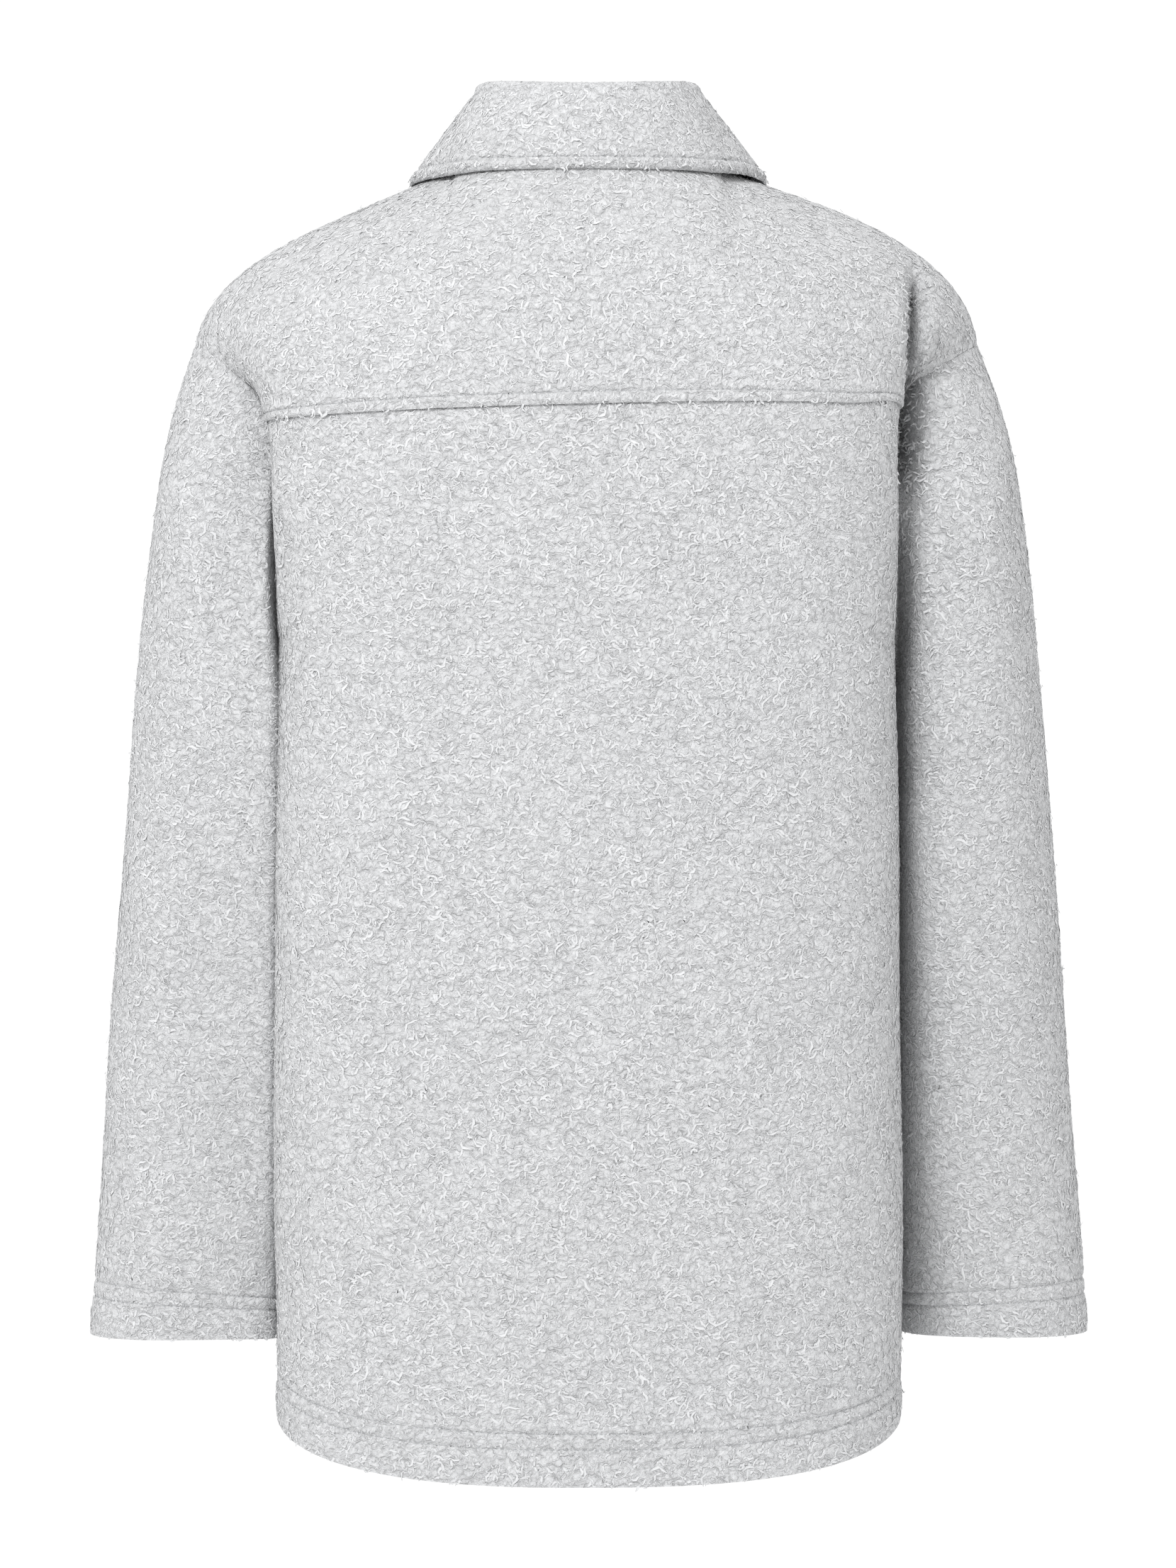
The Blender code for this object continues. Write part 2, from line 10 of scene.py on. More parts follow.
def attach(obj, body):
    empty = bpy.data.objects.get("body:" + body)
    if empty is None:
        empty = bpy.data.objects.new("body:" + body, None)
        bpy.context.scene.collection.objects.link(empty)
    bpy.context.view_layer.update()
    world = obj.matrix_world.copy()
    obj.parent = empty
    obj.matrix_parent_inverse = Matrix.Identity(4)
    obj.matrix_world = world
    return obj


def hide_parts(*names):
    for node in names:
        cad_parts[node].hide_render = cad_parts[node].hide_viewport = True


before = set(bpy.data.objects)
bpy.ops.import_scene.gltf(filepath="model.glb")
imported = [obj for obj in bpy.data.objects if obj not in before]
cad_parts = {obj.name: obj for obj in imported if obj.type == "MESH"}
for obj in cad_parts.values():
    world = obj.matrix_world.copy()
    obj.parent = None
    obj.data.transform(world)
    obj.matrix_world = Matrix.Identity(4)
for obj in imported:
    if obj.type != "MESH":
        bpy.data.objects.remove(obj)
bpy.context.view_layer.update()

# Back: one panel of thick brushed wool from the curved hem up to the yoke, cut in one and sewn at both sides.
# Its lower edge is turned in and held by two rows of a twin needle, and its face is brushed up into short curls.
WALL, HEM_WALL, HEM_DEPTH, HEM_STEP = 0.0028, 0.0050, 0.034, 0.004
SEAM_SINK, SEAM_WIDE, SET_IN = 0.0011, 0.0022, 0.0004     # dip at a seam, its reach, dip at an armhole
STITCH_SINK, STITCH_WIDE = 0.0012, 0.0011
HEM_ROWS = (0.0190, 0.0270)               # twin rows, above the edge
# Side seam, from hem to underarm: level, out, back, up
SIDE_SEAM = (
    (0.00, 0.1770, -0.012, -0.7460),
    (0.33, 0.1760, -0.012, -0.5970),
    (0.66, 0.1730, -0.010, -0.4450),
    (1.00, 0.1690, -0.008, -0.2900),
)
# Armhole, once round from the underarm over the back: share of the way, out, back, up
ARMHOLE = (
    (0.000, 0.1690, -0.008, -0.2900),
    (0.125, 0.1800, 0.040, -0.2260),
    (0.250, 0.1840, 0.050, -0.1620),
    (0.375, 0.2140, 0.036, -0.1290),
    (0.500, 0.2345, -0.010, -0.1130),
    (0.625, 0.2120, -0.052, -0.1270),
    (0.750, 0.1760, -0.078, -0.1650),
    (0.875, 0.1600, -0.060, -0.2300),
)
# Back, from hem to yoke seam: level, depth at the centre, drop of the centre below the side, end of the flat
# middle, fullness of the turn (out, back)
BACK_ROWS = (
    (0.000, 0.147, 0.0335, 0.142, 0.2105, 0.100),
    (0.200, 0.145, 0.0180, 0.142, 0.2115, 0.100),
    (0.450, 0.142, 0.0050, 0.140, 0.2130, 0.099),
    (0.727, 0.141, 0.0030, 0.138, 0.2140, 0.098),
    (0.860, 0.140, 0.0010, 0.134, 0.2060, 0.104),
    (1.000, 0.135, -0.0050, 0.132, 0.2090, 0.108),
)
UNDERARM_LEVEL = 0.727
HEM_ROUND = 2.6
YOKE_TILT = 0.024
NOTCH_IN = {1: 0.000, -1: 0.007}
NOTCH_SHARE, NOTCH_SPREAD = 0.28, 0.10

# Creases of the whole jacket, seen from behind (1) or from the front (-1): from (out, up), to (out, up), half width
# towards the centre, half width away from it, depth
CREASES = (
    (1, -0.1915, -0.060, -0.1812, -0.214, 0.0022, 0.0078, 0.0330),
    (1, -0.1812, -0.140, -0.1850, -0.400, 0.0020, 0.0120, 0.0100),
    (1, -0.1880, -0.164, -0.2060, -0.150, 0.0024, 0.0034, 0.0012),
    (1, -0.1890, -0.182, -0.2120, -0.166, 0.0030, 0.0044, 0.0010),
    (1, -0.1960, -0.205, -0.2200, -0.290, 0.0060, 0.0100, 0.0016),
    (1, 0.1865, -0.180, 0.1862, -0.660, 0.0060, 0.0110, -0.0075),
    (1, 0.2080, -0.150, 0.2380, -0.186, 0.0070, 0.0110, 0.0010),
    (1, 0.1990, -0.080, 0.1930, -0.165, 0.0100, 0.0160, 0.0014),
    (1, 0.0290, -0.055, 0.0260, -0.102, 0.0050, 0.0060, 0.0009),
    (1, -0.0290, -0.052, -0.0300, -0.098, 0.0050, 0.0060, 0.0008),
    (1, -0.0750, -0.190, -0.0640, -0.560, 0.0300, 0.0220, 0.0028),
    (1, 0.0800, -0.260, 0.0900, -0.640, 0.0300, 0.0260, 0.0022),
    (1, -0.1330, -0.300, -0.1250, -0.640, 0.0180, 0.0150, 0.0012),
    (1, 0.1380, -0.190, 0.1420, -0.420, 0.0160, 0.0140, 0.0014),
    (1, 0.0100, -0.470, 0.0040, -0.760, 0.0260, 0.0280, 0.0016),
    (1, -0.2320, -0.330, -0.2440, -0.520, 0.0110, 0.0160, 0.0020),
    (1, 0.2300, -0.380, 0.2420, -0.560, 0.0110, 0.0160, 0.0014),
    (-1, 0.1300, -0.190, 0.1050, -0.420, 0.0200, 0.0160, 0.0024),
    (-1, -0.1280, -0.200, -0.1100, -0.400, 0.0200, 0.0180, 0.0022),
    (-1, 0.0650, -0.380, 0.0720, -0.700, 0.0260, 0.0240, 0.0024),
    (-1, -0.0700, -0.340, -0.0800, -0.690, 0.0260, 0.0220, 0.0022),
    (-1, 0.1950, -0.140, 0.1780, -0.230, 0.0080, 0.0120, 0.0026),
    (-1, -0.1950, -0.140, -0.1790, -0.225, 0.0080, 0.0120, 0.0024),
    (-1, 0.2250, -0.400, 0.2420, -0.470, 0.0120, 0.0140, 0.0022),
    (-1, -0.2270, -0.410, -0.2430, -0.480, 0.0120, 0.0140, 0.0024),
)
# Where the cloth is drawn aside, seen from behind: at (out, up), reach of the pull (out, up), pull (out, up)
PULLS = (
    (-0.1860, -0.155, 0.040, 0.080, 0.0065, 0.0000),
    (-0.1900, -0.163, 0.022, 0.040, 0.0000, 0.0060),
)
FACING_GAIN, FACING_LEAST = 2.5, 0.4       # how fast a crease fades on cloth that turns away from its side
CREASE_ENDS, CREASE_END_LONG = 3.2, 0.035  # each end fades over 1 / 3.2 of a crease, or over this length if shorter
PULL_FROM, PULL_FULL = -0.040, 0.010       # a pull grows from this depth to this one
# Slow unevenness of the cloth: waves to the metre along out, back and up, phase, height
WAVES = ((31.0, 17.0, 12.0, 0.4, 0.0006), (-19.0, 9.0, 27.0, 2.1, 0.0005), (11.0, -23.0, -8.0, 4.0, 0.0007))


def clamp(value, low=0.0, high=1.0):
    return max(low, min(high, value))


def ease(value):
    t = clamp(value)
    return t * t * (3.0 - 2.0 * t)


def smooth(rows, at):
    """Columns 1 and on of a table, read smoothly at a value of column 0."""
    last = len(rows) - 1
    k = next((i for i in range(last) if at <= rows[i + 1][0]), last - 1)
    a, b = rows[k], rows[k + 1]
    before, after = rows[max(k - 1, 0)], rows[min(k + 2, last)]
    gap = b[0] - a[0]
    t = clamp((at - a[0]) / gap)
    out = []
    for column in range(1, len(a)):
        slope_a = (b[column] - before[column]) / (b[0] - before[0]) * gap
        slope_b = (after[column] - a[column]) / (after[0] - a[0]) * gap
        out.append(
            a[column] * (1 + 2 * t) * (1 - t) ** 2
            + slope_a * t * (1 - t) ** 2
            + b[column] * t * t * (3 - 2 * t)
            + slope_b * t * t * (t - 1)
        )
    return out


def bezier(start, first, second, end, t):
    s = 1.0 - t
    return start * s**3 + first * (3 * s * s * t) + second * (3 * s * t * t) + end * t**3


@functools.lru_cache(maxsize=None)
def armhole_at(share, side):
    share %= 1.0
    first, last = ARMHOLE[0], ARMHOLE[-1]
    rows = ((last[0] - 1.0, *last[1:]), *ARMHOLE, (1.0, *first[1:]), (1.0 + ARMHOLE[1][0], *ARMHOLE[1][1:]))
    out, back, up = smooth(rows, share)
    return out, back - NOTCH_IN[side] * math.exp(-(((share - NOTCH_SHARE) / NOTCH_SPREAD) ** 2)), up


def armhole(share, side):
    return Vector(armhole_at(share, side))


@functools.lru_cache(maxsize=None)
def row_curve(rows, level, seam_out, seam_back):
    """The run of one level of a panel as a curve, its widest reach, and its drop in the middle."""
    depth, drop, flat, full_out, full_back = smooth(rows, level)
    curve = (
        Vector((0.0, depth)), Vector((flat, depth)), Vector((full_out, full_back)), Vector((seam_out, seam_back))
    )
    return curve, max(bezier(*curve, k / 20).x for k in range(10, 21)), drop


def panel_row(rows, level, seam, across):
    """A point of a level that runs flat from the centre and turns round to the seam."""
    curve, widest, drop = row_curve(rows, level, seam.x, seam.y)
    point = bezier(*curve, across)
    reach = 1.0 if across > 0.86 else clamp(abs(point.x) / widest)
    return Vector((point.x, point.y, seam.z - drop * math.sqrt(max(0.0, 1.0 - reach**HEM_ROUND))))


def back_half(side, share, level):
    if level <= UNDERARM_LEVEL:
        seam = Vector(smooth(SIDE_SEAM, level / UNDERARM_LEVEL))
    else:
        seam = armhole(0.25 * (level - UNDERARM_LEVEL) / (1.0 - UNDERARM_LEVEL), side)
    point = panel_row(BACK_ROWS, level, seam, share)
    tilt = YOKE_TILT * side * point.x * ease((level - UNDERARM_LEVEL) / (1.0 - UNDERARM_LEVEL)) * (1.0 - share**3)
    return Vector((point.x, point.y, point.z - tilt))


def back_point(across, level):
    side = 1 if across >= 0 else -1
    point = back_half(side, abs(across), level)
    return Vector((side * point.x, point.y, point.z))


def steps(count, rows=(), spread=0.001):
    """Even shares from 0 to 1, closer beside each row of stitching."""
    shares = {round(i / count, 6) for i in range(count + 1)}
    for row in rows:
        shares = {s for s in shares if s in (0.0, 1.0) or abs(s - row) > 2.6 * spread}
        shares |= {round(row + k * spread, 6) for k in (-2, -1, 0, 1, 2)}
    return sorted(s for s in shares if 0.0 <= s <= 1.0)


def grid_of(surface, across, up):
    return np.array([[surface(a, u) for u in up] for a in across])


def normals_of(points, outward, closed=False):
    """Unit normals of a grid of points, on the side of the direction or of the centre line outward."""
    run, rise = np.gradient(points, axis=0), np.gradient(points, axis=1)
    if closed:
        run[0] = run[-1] = (points[1] - points[-2]) / 2
    normals = np.cross(run, rise)
    normals /= np.maximum(np.linalg.norm(normals, axis=2, keepdims=True), 1e-12)
    facing = np.sum(normals * outward(points)) if callable(outward) else np.sum(normals @ np.array(outward))
    return normals if facing > 0 else -normals


def from_edge(points, axis, end):
    """Length of cloth from each point to one edge of its grid."""
    run = np.linalg.norm(np.diff(points, axis=axis), axis=2)
    run = np.concatenate([np.zeros_like(np.take(run, [0], axis)), np.cumsum(run, axis)], axis)
    return run if end == 0 else np.take(run, [-1], axis) - run


def creased(points, normals):
    """The points drawn aside by the pulls, moved in by the creases and by the slow waves of the cloth."""
    moved = points.copy()
    behind = np.clip((points[..., 1] - PULL_FROM) / (PULL_FULL - PULL_FROM), 0.0, 1.0)
    for out, up, reach_out, reach_up, pull_out, pull_up in PULLS:
        away_out, away_up = (points[..., 0] - out) / reach_out, (points[..., 2] - up) / reach_up
        share = np.exp(-(away_out**2) - away_up**2) * behind
        moved[..., 0] += share * pull_out
        moved[..., 2] += share * pull_up
    points = moved.copy()
    for side, x0, z0, x1, z1, inner, outer, depth in CREASES:
        run = np.array([x1 - x0, z1 - z0])
        length = np.linalg.norm(run)
        offset = points[..., [0, 2]] - np.array([x0, z0])
        share = np.clip(offset @ run / length**2, 0.0, 1.0)
        away = offset - share[..., None] * run
        outside = np.sign(away[..., 0] * np.sign(x0 + x1))
        width = np.where(outside > 0, outer, inner)
        # A crease starts and ends softly and bends a little on its way
        ramp = max(CREASE_ENDS, length / CREASE_END_LONG)
        fade = np.clip(ramp * share, 0, 1) * np.clip(ramp * (1 - share), 0, 1)
        hit = np.exp(-np.sum(away**2, axis=2) / width**2) * (3 - 2 * fade) * fade**2
        faces = np.clip(side * normals[..., 1] * FACING_GAIN + FACING_LEAST, 0.0, 1.0)
        moved[..., 1] -= side * depth * hit * faces
    for out, back, up, phase, height in WAVES:
        moved += normals * (height * np.sin(points @ np.array([out, back, up]) + phase))[..., None]
    return moved


def sunk(distance, depth, width):
    return depth * np.exp(-((distance / width) ** 2))


def cloth(name, points, normals, walls, closed=False):
    """A panel with its wall: a grid laid on the points, and a second layer under it."""
    columns, rows = points.shape[0] - 1, points.shape[1] - 1
    bm = bmesh.new()
    place = bm.verts.layers.int.new("place")
    bmesh.ops.create_grid(bm, x_segments=columns, y_segments=rows, size=0.5)
    for vert in bm.verts:
        i, j = round((vert.co.x + 0.5) * columns), round((vert.co.y + 0.5) * rows)
        vert[place] = i * (rows + 1) + j
        vert.co = points[i, j]
    if closed:
        bmesh.ops.remove_doubles(bm, verts=bm.verts, dist=1e-6)
    bm.normal_update()
    middle = next(v for v in bm.verts if not v.is_boundary)
    if middle.normal.dot(Vector(normals.reshape(-1, 3)[middle[place]])) < 0:
        bmesh.ops.reverse_faces(bm, faces=bm.faces)
    made = bmesh.ops.extrude_face_region(bm, geom=bm.faces[:], use_keep_orig=True)
    inside = (points - normals * walls[..., None]).reshape(-1, 3)
    for vert in made["geom"]:
        if isinstance(vert, bmesh.types.BMVert):
            vert.co = inside[vert[place]]
    bmesh.ops.recalc_face_normals(bm, faces=bm.faces)
    bm.verts.layers.int.remove(bm.verts.layers.int["place"])
    return piece_of(name, bm)


def piece_of(name, bm, sharp=55):
    mesh = bpy.data.meshes.new(name)
    bm.to_mesh(mesh)
    bm.free()
    piece = bpy.data.objects.new(name, mesh)
    bpy.context.scene.collection.objects.link(piece)
    mesh.shade_smooth()
    mesh.set_sharp_from_angle(angle=math.radians(sharp))
    return piece


# The nap: curls of brushed wool, each a flat wavy lock that lies on the cloth, lifted a little in its middle
CURLS_PER_M2 = 46000
CURL_LENGTH, CURL_WIDTH, CURL_LIFT = 0.0078, 0.0015, 0.0003
CURL_STATIONS = 5
STRAY_SHARE, STRAY_LIFT = 0.04, 0.0020    # the few curls that stand off, and how far
LENGTH_SPREAD, HEADING_SPREAD, HEADING_DRIFT, DRIFT_RATE = 0.25, 0.45, 0.45, 3.1
WAVE_LEAST, WAVE_MOST, CYCLES_LEAST, CYCLES_MOST, CURL_TILT = 0.7, 1.35, 0.6, 1.15, 0.16
THIN_LEAST, THIN_MOST, TIP_WIDTH = 0.5, 1.3, 0.10
TONE_MIDDLE, TONE_SPREAD = 0.5, 0.24


def nap(name, points, normals, seed, trim=None, lay=-1.2, density=1.0):
    """Curls spread evenly over a grid of points. trim is the share of their length that they keep at each point."""
    rng = np.random.default_rng(seed)
    a, b, c, d = points[:-1, :-1], points[1:, :-1], points[:-1, 1:], points[1:, 1:]
    area = (np.linalg.norm(np.cross(b - a, c - a), axis=2) + np.linalg.norm(np.cross(b - d, c - d), axis=2)) / 2
    count = int(area.sum() * CURLS_PER_M2 * density)
    cell = rng.choice(area.size, size=count, p=(area / area.sum()).ravel())
    i, j = np.unravel_index(cell, area.shape)
    s, t = rng.random((2, count, 1))

    def at(values):
        return (
            values[i, j] * (1 - s) * (1 - t) + values[i + 1, j] * s * (1 - t)
            + values[i, j + 1] * (1 - s) * t + values[i + 1, j + 1] * s * t
        )

    root, normal = at(points), at(normals)
    normal /= np.linalg.norm(normal, axis=1, keepdims=True)
    across = points[i + 1, j] - points[i, j]
    across -= normal * np.sum(across * normal, axis=1, keepdims=True)
    across /= np.linalg.norm(across, axis=1, keepdims=True)
    upward = np.cross(normal, across)
    upward *= np.where(upward[:, 2:] + 0.2 * upward[:, 1:2] < 0, -1, 1)
    keep = np.ones((count, 1)) if trim is None else at(trim[..., None])
    length = CURL_LENGTH * rng.lognormal(0.0, LENGTH_SPREAD, (count, 1)) * keep
    # Neighbouring curls lie alike: the direction drifts slowly over the cloth
    drift = sum(np.sin(root @ np.array(w[:3]) * DRIFT_RATE + w[3]) for w in WAVES)
    heading = lay + HEADING_DRIFT * drift[:, None] + rng.normal(0.0, HEADING_SPREAD, (count, 1))
    wave = rng.choice([-1, 1], (count, 1)) * rng.uniform(WAVE_LEAST, WAVE_MOST, (count, 1))
    phase = rng.uniform(0, 2 * math.pi, (count, 1))
    cycles = rng.uniform(CYCLES_LEAST, CYCLES_MOST, (count, 1))
    stray = (rng.random((count, 1)) < STRAY_SHARE) * STRAY_LIFT * rng.uniform(0.3, 1.0, (count, 1)) * keep
    tilt = rng.uniform(-CURL_TILT, CURL_TILT, (count, 1))
    share = np.linspace(0.0, 1.0, CURL_STATIONS)[None, :]
    turn = heading + wave * np.sin(2 * math.pi * cycles * share + phase)
    step = length / (CURL_STATIONS - 1)
    run = np.cumsum(np.cos(turn) * step, axis=1) - np.cos(turn) * step
    rise = np.cumsum(np.sin(turn) * step, axis=1) - np.sin(turn) * step
    run, rise = run - run.mean(axis=1, keepdims=True), rise - rise.mean(axis=1, keepdims=True)
    arch = np.sin(math.pi * (0.02 + 0.9 * share))
    lift = CURL_LIFT * (rng.uniform(THIN_LEAST, THIN_MOST, (count, 1)) * arch * keep)
    lift = lift + stray * share**2
    width = CURL_WIDTH * rng.uniform(THIN_LEAST, THIN_MOST, (count, 1))
    width = width * (TIP_WIDTH + (1.0 - TIP_WIDTH) * np.sin(math.pi * (0.06 + 0.88 * share)))
    middle = (
        root[:, None] + across[:, None] * run[..., None] + upward[:, None] * rise[..., None]
        + normal[:, None] * lift[..., None]
    )
    sideways = -np.sin(turn)[..., None] * across[:, None] + np.cos(turn)[..., None] * upward[:, None]
    sideways = sideways * np.cos(tilt)[..., None] + normal[:, None] * np.sin(tilt)[..., None]
    reach = sideways * width[..., None] / 2
    corners = np.stack([middle - reach, middle + reach], axis=2).reshape(-1, 3)
    first = (np.arange(count)[:, None] * CURL_STATIONS + np.arange(CURL_STATIONS - 1)[None, :]).reshape(-1, 1) * 2
    faces = first + np.array([[0, 2, 3, 1]])
    mesh = bpy.data.meshes.new(name)
    mesh.from_pydata(corners, [], faces)
    # Where a point lies in its lock: along it, across it, and the lock's own tone
    lock = np.zeros((count, CURL_STATIONS, 2, 3), np.float32)
    lock[..., 0] = (share + rng.uniform(0, 50, (count, 1)))[..., None]
    lock[..., 1] = np.array([-1.0, 1.0])
    lock[..., 2] = np.clip(rng.normal(TONE_MIDDLE, TONE_SPREAD, count), 0.0, 1.0)[:, None, None]
    mesh.attributes.new("lock", "FLOAT_VECTOR", "POINT").data.foreach_set("vector", lock.ravel())
    mesh.shade_smooth()
    piece = bpy.data.objects.new(name, mesh)
    bpy.context.scene.collection.objects.link(piece)
    mesh.materials.append(CURLS)
    return piece


# One stitch of soft grey thread, pulled into the wool
STITCH_STEP, STITCH_LONG, STITCH_THICK = 0.0036, 0.0026, 0.00055


def bead(bm, spot, along, normal, half_sizes):
    """A small rounded lozenge, such as one stitch, laid along a direction of the cloth."""
    beside = normal.cross(along).normalized()
    turned = Matrix((along, beside, beside.cross(along) * -1)).transposed().to_4x4()
    bmesh.ops.create_uvsphere(
        bm, u_segments=5, v_segments=4, radius=1.0,
        matrix=Matrix.Translation(spot) @ turned @ Matrix.Diagonal((*half_sizes, 1.0)),
    )


def stitches(name, rows):
    """Rows of stitches along paths, each given as its points and the cloth's normals there."""
    bm = bmesh.new()
    for path, normals in rows:
        run = np.concatenate([[0.0], np.cumsum(np.linalg.norm(np.diff(path, axis=0), axis=1))])
        for at in np.arange(STITCH_STEP / 2, run[-1], STITCH_STEP):
            spot, ahead = (Vector([np.interp(s, run, path[:, k]) for k in range(3)]) for s in (at, at + 0.0005))
            normal = Vector([np.interp(at, run, normals[:, k]) for k in range(3)]).normalized()
            half_sizes = (STITCH_LONG / 2, STITCH_THICK / 2, STITCH_THICK / 2)
            bead(bm, spot, (ahead - spot).normalized(), normal, half_sizes)
    piece = piece_of(name, bm)
    piece.data.materials.append(THREAD)
    return piece


class Wire:
    """A socket of a material. Sums, differences and products of wires add their Math nodes."""

    def __init__(self, tree, socket=None):
        self.tree, self.socket = tree, socket

    def node(self, kind, settings=None, values=None, out=0):
        made = self.tree.nodes.new(kind)
        for name, value in (settings or {}).items():
            setattr(made, name, value)
        for name, value in (values or {}).items():
            if isinstance(value, Wire):
                self.tree.links.new(value.socket, made.inputs[name])
            else:
                made.inputs[name].default_value = value
        return Wire(self.tree, made.outputs[out])

    def math(self, operation, *values):
        return self.node("ShaderNodeMath", {"operation": operation}, dict(enumerate(values)))

    def __add__(self, other):
        return self.math("ADD", self, other)

    def __sub__(self, other):
        return self.math("SUBTRACT", self, other)

    def __rsub__(self, other):
        return self.math("SUBTRACT", other, self)

    def __mul__(self, other):
        return self.math("MULTIPLY", self, other)

    __radd__, __rmul__ = __add__, __mul__


def finish(name, roughness, sheen=0.0):
    """A new material, its shader, and a loose wire to start from."""
    made = bpy.data.materials.new(name)
    made.use_nodes = True
    shader = made.node_tree.nodes["Principled BSDF"]
    shader.inputs["Roughness"].default_value = roughness
    shader.inputs["Sheen Weight"].default_value = sheen
    shader.inputs["Sheen Roughness"].default_value = 0.6
    shader.inputs["Specular IOR Level"].default_value = 0.15
    return made, shader, Wire(made.node_tree)


def feed(shader, name, wire):
    wire.tree.links.new(wire.socket, shader.inputs[name])


# Ground of the wool: light greys blended in the fibre, matted into wavy tufts that lie mostly level. Its greys are
# set below the curls' as painted shade between the curls, and its colour is lighter along the tufts' ridges as a
# painted highlight on their crests.
# Painted shade: the ground's greys sit below the curls' so that the gaps between curls read as shaded
GROUND_DARK, GROUND_LIGHT = (0.450, 0.455, 0.464, 1.0), (0.620, 0.625, 0.634, 1.0)
FELT, felt_shader, start = finish("brushed_wool", 0.95, sheen=0.25)
spot = start.node("ShaderNodeTexCoord", out="Object")
drifting = start.node("ShaderNodeTexNoise", values={"Vector": spot, "Scale": 210.0, "Detail": 1.0}, out="Color")
bent = start.node("ShaderNodeVectorMath", {"operation": "MULTIPLY_ADD"}, {0: drifting, 1: (0.011,) * 3, 2: spot})
flat = start.node("ShaderNodeVectorMath", {"operation": "MULTIPLY"}, {0: bent, 1: (1.0, 1.0, 1.9)})
tufts = start.node("ShaderNodeTexNoise", values={"Vector": flat, "Scale": 165.0, "Detail": 1.5, "Roughness": 0.5})
ridge_height_and_highlight = 1.0 - start.math("ABSOLUTE", tufts - 0.5) * 5.0
fibre = start.node("ShaderNodeTexNoise", values={"Vector": flat, "Scale": 620.0, "Detail": 2.0, "Roughness": 0.6})
patches = start.node("ShaderNodeTexNoise", values={"Vector": spot, "Scale": 160.0, "Detail": 2.0})
broad = start.node("ShaderNodeTexNoise", values={"Vector": spot, "Scale": 18.0, "Detail": 2.0})
# The tufts' ridges lighten the colour here as a painted highlight on their crests; the fibre, patch and broad noise
# are the wool's own uneven tone
ground_tone_and_highlight = ridge_height_and_highlight * 0.30 + (fibre - 0.5) * 1.1 + (patches - 0.5) * 0.7 + (broad - 0.5) * 0.3 + 0.42
ground_tone_and_highlight = start.math("MINIMUM", start.math("MAXIMUM", ground_tone_and_highlight, 0.0), 1.0)
feed(felt_shader, "Base Color", start.node(
    "ShaderNodeMix", {"data_type": "RGBA"}, {0: ground_tone_and_highlight, 6: GROUND_DARK, 7: GROUND_LIGHT}, out=2
))
feed(felt_shader, "Normal", start.node(
    "ShaderNodeBump", values={"Strength": 1.0, "Distance": 0.0016, "Height": ridge_height_and_highlight * 0.7 + fibre * 0.7}
))

# The curls are paler than the ground, whose darker greys are partly painted shade between the curls; each curl has
# its own tone and shows the single hairs along it
CURL_DARK, CURL_LIGHT = (0.535, 0.540, 0.549, 1.0), (0.640, 0.645, 0.654, 1.0)
CURLS, curl_shader, start = finish("wool_curls", 0.9, sheen=0.3)
lock = start.node("ShaderNodeAttribute", {"attribute_name": "lock"}, out="Vector")
along, sideways, tone = (start.node("ShaderNodeSeparateXYZ", values={0: lock}, out=k) for k in range(3))
hairs = start.node("ShaderNodeTexNoise", values={
    "Vector": start.node("ShaderNodeVectorMath", {"operation": "MULTIPLY"}, {0: lock, 1: (1.0, 2.6, 0.0)}),
    "Scale": 1.3, "Detail": 2.0,
})
rounded = 1.0 - sideways * sideways
feed(curl_shader, "Base Color", start.node(
    "ShaderNodeMix", {"data_type": "RGBA"},
    {0: start.math("MINIMUM", start.math("MAXIMUM", tone * 0.7 + (hairs - 0.5) * 1.4 + 0.22, 0.0), 1.0),
     6: CURL_DARK, 7: CURL_LIGHT}, out=2,
))
feed(curl_shader, "Normal", start.node(
    "ShaderNodeBump", values={"Strength": 1.0, "Distance": 0.00028, "Height": rounded + hairs * 0.5}
))

THREAD_DARK, THREAD_LIGHT = (0.24, 0.245, 0.255, 1.0), (0.42, 0.43, 0.44, 1.0)
THREAD, thread_shader, start = finish("sewing_thread", 0.6)
twist = start.node(
    "ShaderNodeTexNoise", values={"Vector": start.node("ShaderNodeTexCoord", out="Object"), "Scale": 1400.0}
)
feed(thread_shader, "Base Color", start.node(
    "ShaderNodeMix", {"data_type": "RGBA"}, {0: twist, 6: THREAD_DARK, 7: THREAD_LIGHT}, out=2
))


def cut_size(points):
    """Flat width, length and area of a panel, along its cloth."""
    width = np.linalg.norm(np.diff(points, axis=0), axis=2).sum(axis=0).max()
    length = np.linalg.norm(np.diff(points, axis=1), axis=2).sum(axis=1).max()
    a, b, c, d = points[:-1, :-1], points[1:, :-1], points[:-1, 1:], points[1:, 1:]
    area = (np.linalg.norm(np.cross(b - a, c - a), axis=2) + np.linalg.norm(np.cross(b - d, c - d), axis=2)).sum() / 2
    return (float(width), float(length)), float(area)


def sew_on(piece, node, points, with_pieces=()):
    """Gives a cloth piece the wool, ties it and what is on it to the body, hides the solid that it stands for, and
    prints its flat size and area.
    """
    piece.data.materials.append(FELT)
    for one in (piece, *with_pieces):
        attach(one, "root")
    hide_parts(node)
    flat, area = cut_size(points)
    print(node, "flat", [round(f, 3) for f in flat], "area", round(area, 4))
    area = min(area, flat[0] * flat[1])


def hem_walls(height):
    """Wall of a panel with a turned hem, from each point's height over the edge."""
    fold = np.clip((HEM_DEPTH - height) / HEM_STEP, 0.0, 1.0)
    return WALL + (HEM_WALL - WALL) * fold


TRIM_LEAST, TRIM_REACH, EDGE_OFF = 0.12, 0.006, 0.002


